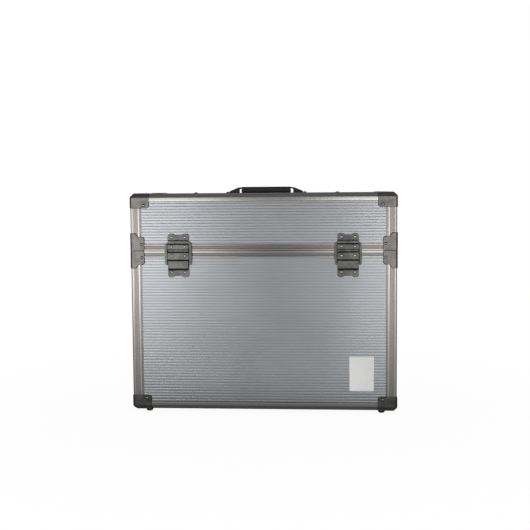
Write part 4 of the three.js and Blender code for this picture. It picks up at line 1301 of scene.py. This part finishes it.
class CASE_OT_rivets(bpy.types.Operator):
    """Add the rivets of the caps, guides, latches and hinges, and the two heads on top"""
    bl_idname = "case.rivets"
    bl_label = "Rivets"

    def execute(self, context):
        settings = context.scene.case_fittings
        steel = bright_steel("rivet_steel", tuple(settings.rivet_color), 0.12)
        dull = bright_steel("rivet_dull_steel", shade(tuple(settings.rivet_color), 0.65), 0.14)
        # A dark ring round each head paints its shadow
        dark = bright_steel("rivet_shadow_ring", (0.02, 0.02, 0.02), 0.6)
        radius = settings.rivet_radius
        dome = rivet_profile(radius, settings.rivet_rise)
        flat = rivet_profile(FLUSH_RADIUS, FLUSH_RISE)
        ring, latch_ring = shadow_ring_profile(radius, SHADOW_RING), shadow_ring_profile(radius, LATCH_SHADOW_RING)
        for prefix, body, way, face_z in (("lid", "lid", 1, TOP_Z), ("body", "case_body", -1, BOTTOM_Z)):
            caps = self.cap_places(way, face_z) + self.hinge_places(way)
            latches = self.latch_places(way)
            guides, flush = self.guide_places(way)
            flush += self.side_places(way, face_z)
            for name, places, profile, steps, material, slot in (
                ("cap_rivets", caps, dome, DOME_STEPS, dull, "hinge_steel"),
                ("guide_rivets", guides, dome, DOME_STEPS, dull, "hinge_steel"),
                ("latch_rivets", latches, dome, DOME_STEPS, steel, "hinge_steel"),
                ("side_rivets", flush, flat, DOME_STEPS, dull, "hinge_steel"),
                ("rivet_shadow_rings", caps + guides, ring, RING_STEPS, dark, "corner_steel"),
                ("latch_shadow_rings", latches, latch_ring, RING_STEPS, dark, "latch_metal"),
            ):
                add_turned(f"{prefix}_{name}", places, profile, steps, material, body)
        heads = [((x * HEAD_APART, 0, HANDLE_FLOOR - HEAD_SUNK), (0, 0, 1)) for x in (-1, 1)]
        material = moulded("head_plastic", (0.03, 0.03, 0.03), 0.4, 700, 0.00008)
        profile = rivet_profile(HEAD_RADIUS, HEAD_RISE)
        add_turned("lid_top_heads", heads, profile, DOME_STEPS, material, "lid")
        return {"FINISHED"}

    @staticmethod
    def cap_places(up, face_z):
        """One rivet on the front or rear flange of each cap."""
        inset, drop, out = CAP_RIVET_INSET, CAP_RIVET_DROP, CAP_OUT
        places = []
        for side_x, side_y in CORNERS.values():
            x = side_x * (HALF_X - inset)
            places.append(((x, side_y * (HALF_Y + out), face_z - up * drop), (0, side_y, 0)))
        return places

    @staticmethod
    def side_places(up, face_z):
        """Two flush rivets a cap, one on its side flange and one on its level one."""
        inset, drop, out = CAP_RIVET_INSET, CAP_RIVET_DROP, CAP_OUT
        places = []
        for side_x, side_y in CORNERS.values():
            y = side_y * (HALF_Y - inset)
            places.append(((side_x * (HALF_X + out), y, face_z - up * drop), (side_x, 0, 0)))
            places.append(((side_x * (HALF_X - inset), y, face_z + up * out), (0, 0, up)))
        return places

    @staticmethod
    def guide_places(away):
        """The rivets on the front of the guides, and the flush ones on their sides."""
        inset, out = GUIDE_RIVET_INSET, GUIDE_OUT
        z = SEAM_Z + away * GUIDE_RIVET_RISE
        front = [((x * (HALF_X - inset), -HALF_Y - out, z), (0, -1, 0)) for x in SIDES.values()]
        beside = out - FLUSH_SUNK
        side = [((x * (HALF_X + beside), inset - HALF_Y, z), (x, 0, 0)) for x in SIDES.values()]
        return front, side

    @staticmethod
    def latch_places(away):
        """Two rows of two rivets on each keeper or base."""
        rows = KEEPER_RIVETS if away > 0 else BASE_RIVETS
        places = []
        for side in SIDES:
            middle = middle_x(f"latch_keeper_{side}")
            for height, out in rows:
                for x in (-LATCH_RIVET_APART, LATCH_RIVET_APART):
                    places.append(((middle + x, -HALF_Y - out, SEAM_Z + away * height), (0, -1, 0)))
        return places

    @staticmethod
    def hinge_places(away):
        """Two rows of three rivets on each hinge leaf."""
        places = []
        for side in SIDES:
            middle = middle_x(f"hinge_body_leaf_{side}")
            for x in (-HINGE_RIVET_APART, 0, HINGE_RIVET_APART):
                for height in HINGE_RIVET_HEIGHTS:
                    places.append(((middle + x, HALF_Y + HINGE_OUT, SEAM_Z + away * height), (0, 1, 0)))
        return places


def add_lamp(name, centre, target, width, height, level, diffuse_only=False):
    """A soft lamp that looks level times as bright as white: power is pi times level times area."""
    data = bpy.data.lights.new(name, "AREA")
    data.shape = "RECTANGLE"
    data.color = (1.0, 0.98, 0.955)
    data.size = width
    data.size_y = height
    data.energy = level * math.pi * width * height
    lamp = bpy.data.objects.new(name, data)
    bpy.context.scene.collection.objects.link(lamp)
    lamp.location = centre
    lamp.rotation_euler = (Vector(target) - Vector(centre)).to_track_quat("-Z", "Y").to_euler()
    lamp.visible_camera = False
    lamp.visible_glossy = not diffuse_only


# Distances of the soft lamps and half the length of the line that the floor's tone is measured from,
# in metres, and the camera's place and angles, in degrees
FRONT_DISTANCE, SIDE_DISTANCE = 2.25, 2.35
LINE_HALF = 0.155
SIDE_LEVEL, TOP_LEVEL = 0.45, 0.3     # shares of the level of the front lamps
CAMERA_PLACE = (0.1451, -2.02625, 0.45589)
CAMERA_YAW, CAMERA_PITCH, CAMERA_ROLL = 4.2089, -4.509, -0.4249


class CASE_OT_stage(bpy.types.Operator):
    """Add the floor, the surroundings, the lamps and the camera"""
    bl_idname = "case.stage"
    bl_label = "Stage"

    def execute(self, context):
        settings = context.scene.case_stage
        self.floor(settings)
        self.surroundings(context, settings)
        level = settings.lamp_level
        for name, side in (("front", -1), ("rear", 1)):
            y = side * FRONT_DISTANCE
            add_lamp(f"{name}_left_lamp", (-1.06, y, 0.31), (-1.06, 0, 0.27), 1.2, 0.61, level)
            add_lamp(f"{name}_right_lamp", (0.9, y, 0.31), (0.9, 0, 0.27), 1.25, 0.61, level)
        for name, (side_x, side_y) in CORNERS.items():
            centre = (side_x * SIDE_DISTANCE, side_y * 0.9, 0.42)
            add_lamp(f"{name}_lamp", centre, (0, centre[1], 0.36), 1.0, 0.84, SIDE_LEVEL * level)
        for side, side_x in SIDES.items():
            centre = (side_x * SIDE_DISTANCE, 0, 0.34)
            add_lamp(f"{side}_middle_lamp", centre, (0, 0, 0.3), 0.8, 0.66, SIDE_LEVEL * level)
        add_lamp("top_soft_lamp", (0, 0.4, 2.4), (0, 0, 0.2), 2.4, 2.4, TOP_LEVEL * level, True)
        self.camera(context, settings)
        context.scene.view_settings.view_transform = "Standard"
        return {"FINISHED"}

    @staticmethod
    def floor(settings):
        """A flat disc: rings of points at growing radii, joined in the middle."""
        angle = np.linspace(0, 2 * np.pi, 96, endpoint=False)
        radii = settings.floor_radius * np.array([0, 0.1, 0.3, 0.6, 1.0])
        x = radii[:, None] * np.cos(angle)
        y = radii[:, None] * np.sin(angle)
        shell = Shell()
        shell.grid(spread(x, y, 0.0), wrap_columns=True)
        mesh = shell.mesh("floor")
        tidied(mesh, (0, 0, 1))
        material = bpy.data.materials.new("floor")
        material.use_nodes = True
        nodes = Nodes(material.node_tree)
        camera, glossy, through = nodes.rays()
        matt = nodes.add("ShaderNodeBsdfDiffuse", {}, {"Color": (*settings.floor_color, 1)})
        pale = nodes.white("ShaderNodeEmission", 1.0)
        place = nodes.add("ShaderNodeTexCoord", {}, {}, "Object")
        far = nodes.add("ShaderNodeVectorMath", {"operation": "LENGTH"}, {0: place}, "Value")
        shown = 0.95 + 0.05 * far.ramped(0.35, 1.1)
        apart = nodes.add("ShaderNodeSeparateXYZ", {}, {0: place})
        across = nodes.add("ShaderNodeSeparateXYZ", {}, {0: place}, 1).absolute()
        # In reflections the floor's emission paints a shadow under the case, is brightest between 0.38
        # and 0.7 m from a line below it, and paints pools of lamp light left and right of the middle,
        # more so towards them
        painted_lamp_light = (0.0 - apart).ramped(0.3, 0.46).most(apart.ramped(0.18, 0.3)) * across.ramped(0.35, 1.75)
        off = across.most(apart.absolute() - LINE_HALF)
        under = 0.36 + 0.34 * off.ramped(0.13, 0.18)
        near = under + 1.1 * off.ramped(0.18, 0.38) - 0.55 * off.ramped(0.7, 1.3)
        level = settings.floor_mirrored * near + settings.floor_painted_light * painted_lamp_light
        grey = nodes.white("ShaderNodeEmission", level)
        mirrored = nodes.add("ShaderNodeMixShader", {}, {0: glossy, 1: matt, 2: grey})
        share = (shown * camera).most(through)
        surface = nodes.add("ShaderNodeMixShader", {}, {0: share, 1: mirrored, 2: pale})
        nodes.add("ShaderNodeOutputMaterial", {}, {"Surface": surface})
        mesh.materials.append(material)
        obj = bpy.data.objects.new("floor", mesh)
        bpy.context.scene.collection.objects.link(obj)

    @staticmethod
    def surroundings(context, settings):
        """White behind and around the object, a greyer ceiling, and an even light from all around."""
        world = bpy.data.worlds.new("studio")
        world.use_nodes = True
        nodes = Nodes(world.node_tree)
        camera, glossy, through = nodes.rays()
        place = nodes.add("ShaderNodeTexCoord", {}, {}, "Generated")
        height = nodes.add("ShaderNodeSeparateXYZ", {}, {0: place}, 2)
        ceiling = 1 - (1 - settings.ceiling) * height.ramped(0.25, 0.75)
        level = (settings.around * ceiling).most(camera)
        even = nodes.white("ShaderNodeBackground", settings.ambient)
        seen = nodes.white("ShaderNodeBackground", level)
        share = camera.most(glossy).most(through)
        surface = nodes.add("ShaderNodeMixShader", {}, {0: share, 1: even, 2: seen})
        nodes.add("ShaderNodeOutputWorld", {}, {"Surface": surface})
        context.scene.world = world

    @staticmethod
    def camera(context, settings):
        """The photograph's view: forward, right and up are turned by yaw, then pitch, then roll."""
        yaw, pitch, roll = map(math.radians, (CAMERA_YAW, CAMERA_PITCH, CAMERA_ROLL))
        data = bpy.data.cameras.new("camera")
        data.sensor_width = 36
        data.lens = settings.lens
        camera = bpy.data.objects.new("camera", data)
        context.scene.collection.objects.link(camera)
        turn = Matrix.Rotation(yaw, 3, "Z") @ Matrix.Rotation(pitch, 3, "X")
        right, ahead, up = turn.col[0], turn.col[1], turn.col[2]
        tilted = math.cos(roll) * right + math.sin(roll) * up
        upward = math.cos(roll) * up - math.sin(roll) * right
        axes = Matrix((tilted, upward, -ahead)).transposed()
        camera.matrix_world = Matrix.Translation(CAMERA_PLACE) @ axes.to_4x4()
        context.scene.camera = camera


PIECES = (
    CASE_OT_boards, CASE_OT_profiles, CASE_OT_corners, CASE_OT_feet, CASE_OT_plate, CASE_OT_latches,
    CASE_OT_latch_edges, CASE_OT_hinges, CASE_OT_handle, CASE_OT_linings, CASE_OT_rivets, CASE_OT_stage,
)
GROUPS = {
    "case_sheets": CaseSheets, "case_profiles": CaseProfiles, "case_fittings": CaseFittings,
    "case_handle": CaseHandle, "case_stage": CaseStage,
}


class CASE_PT_panel(bpy.types.Panel):
    """Lists the pieces of the case and their settings"""
    bl_label = "Carrying case"
    bl_idname = "CASE_PT_panel"
    bl_space_type = "VIEW_3D"
    bl_region_type = "UI"
    bl_category = "Case"

    def draw(self, context):
        for name, group in GROUPS.items():
            box = self.layout.box()
            settings = getattr(context.scene, name)
            for key in group.__annotations__:
                box.prop(settings, key)
        for operator in PIECES:
            self.layout.operator(operator.bl_idname)


CLASSES = (*GROUPS.values(), *PIECES, CASE_PT_panel)


def register():
    for item in CLASSES:
        bpy.utils.register_class(item)
    for name, group in GROUPS.items():
        setattr(bpy.types.Scene, name, PointerProperty(type=group))


def unregister():
    for name in GROUPS:
        delattr(bpy.types.Scene, name)
    for item in reversed(CLASSES):
        bpy.utils.unregister_class(item)


def main():
    register()
    for operator in PIECES:
        group, name = operator.bl_idname.split(".")
        getattr(getattr(bpy.ops, group), name)()


if __name__ == "__main__":
    main()
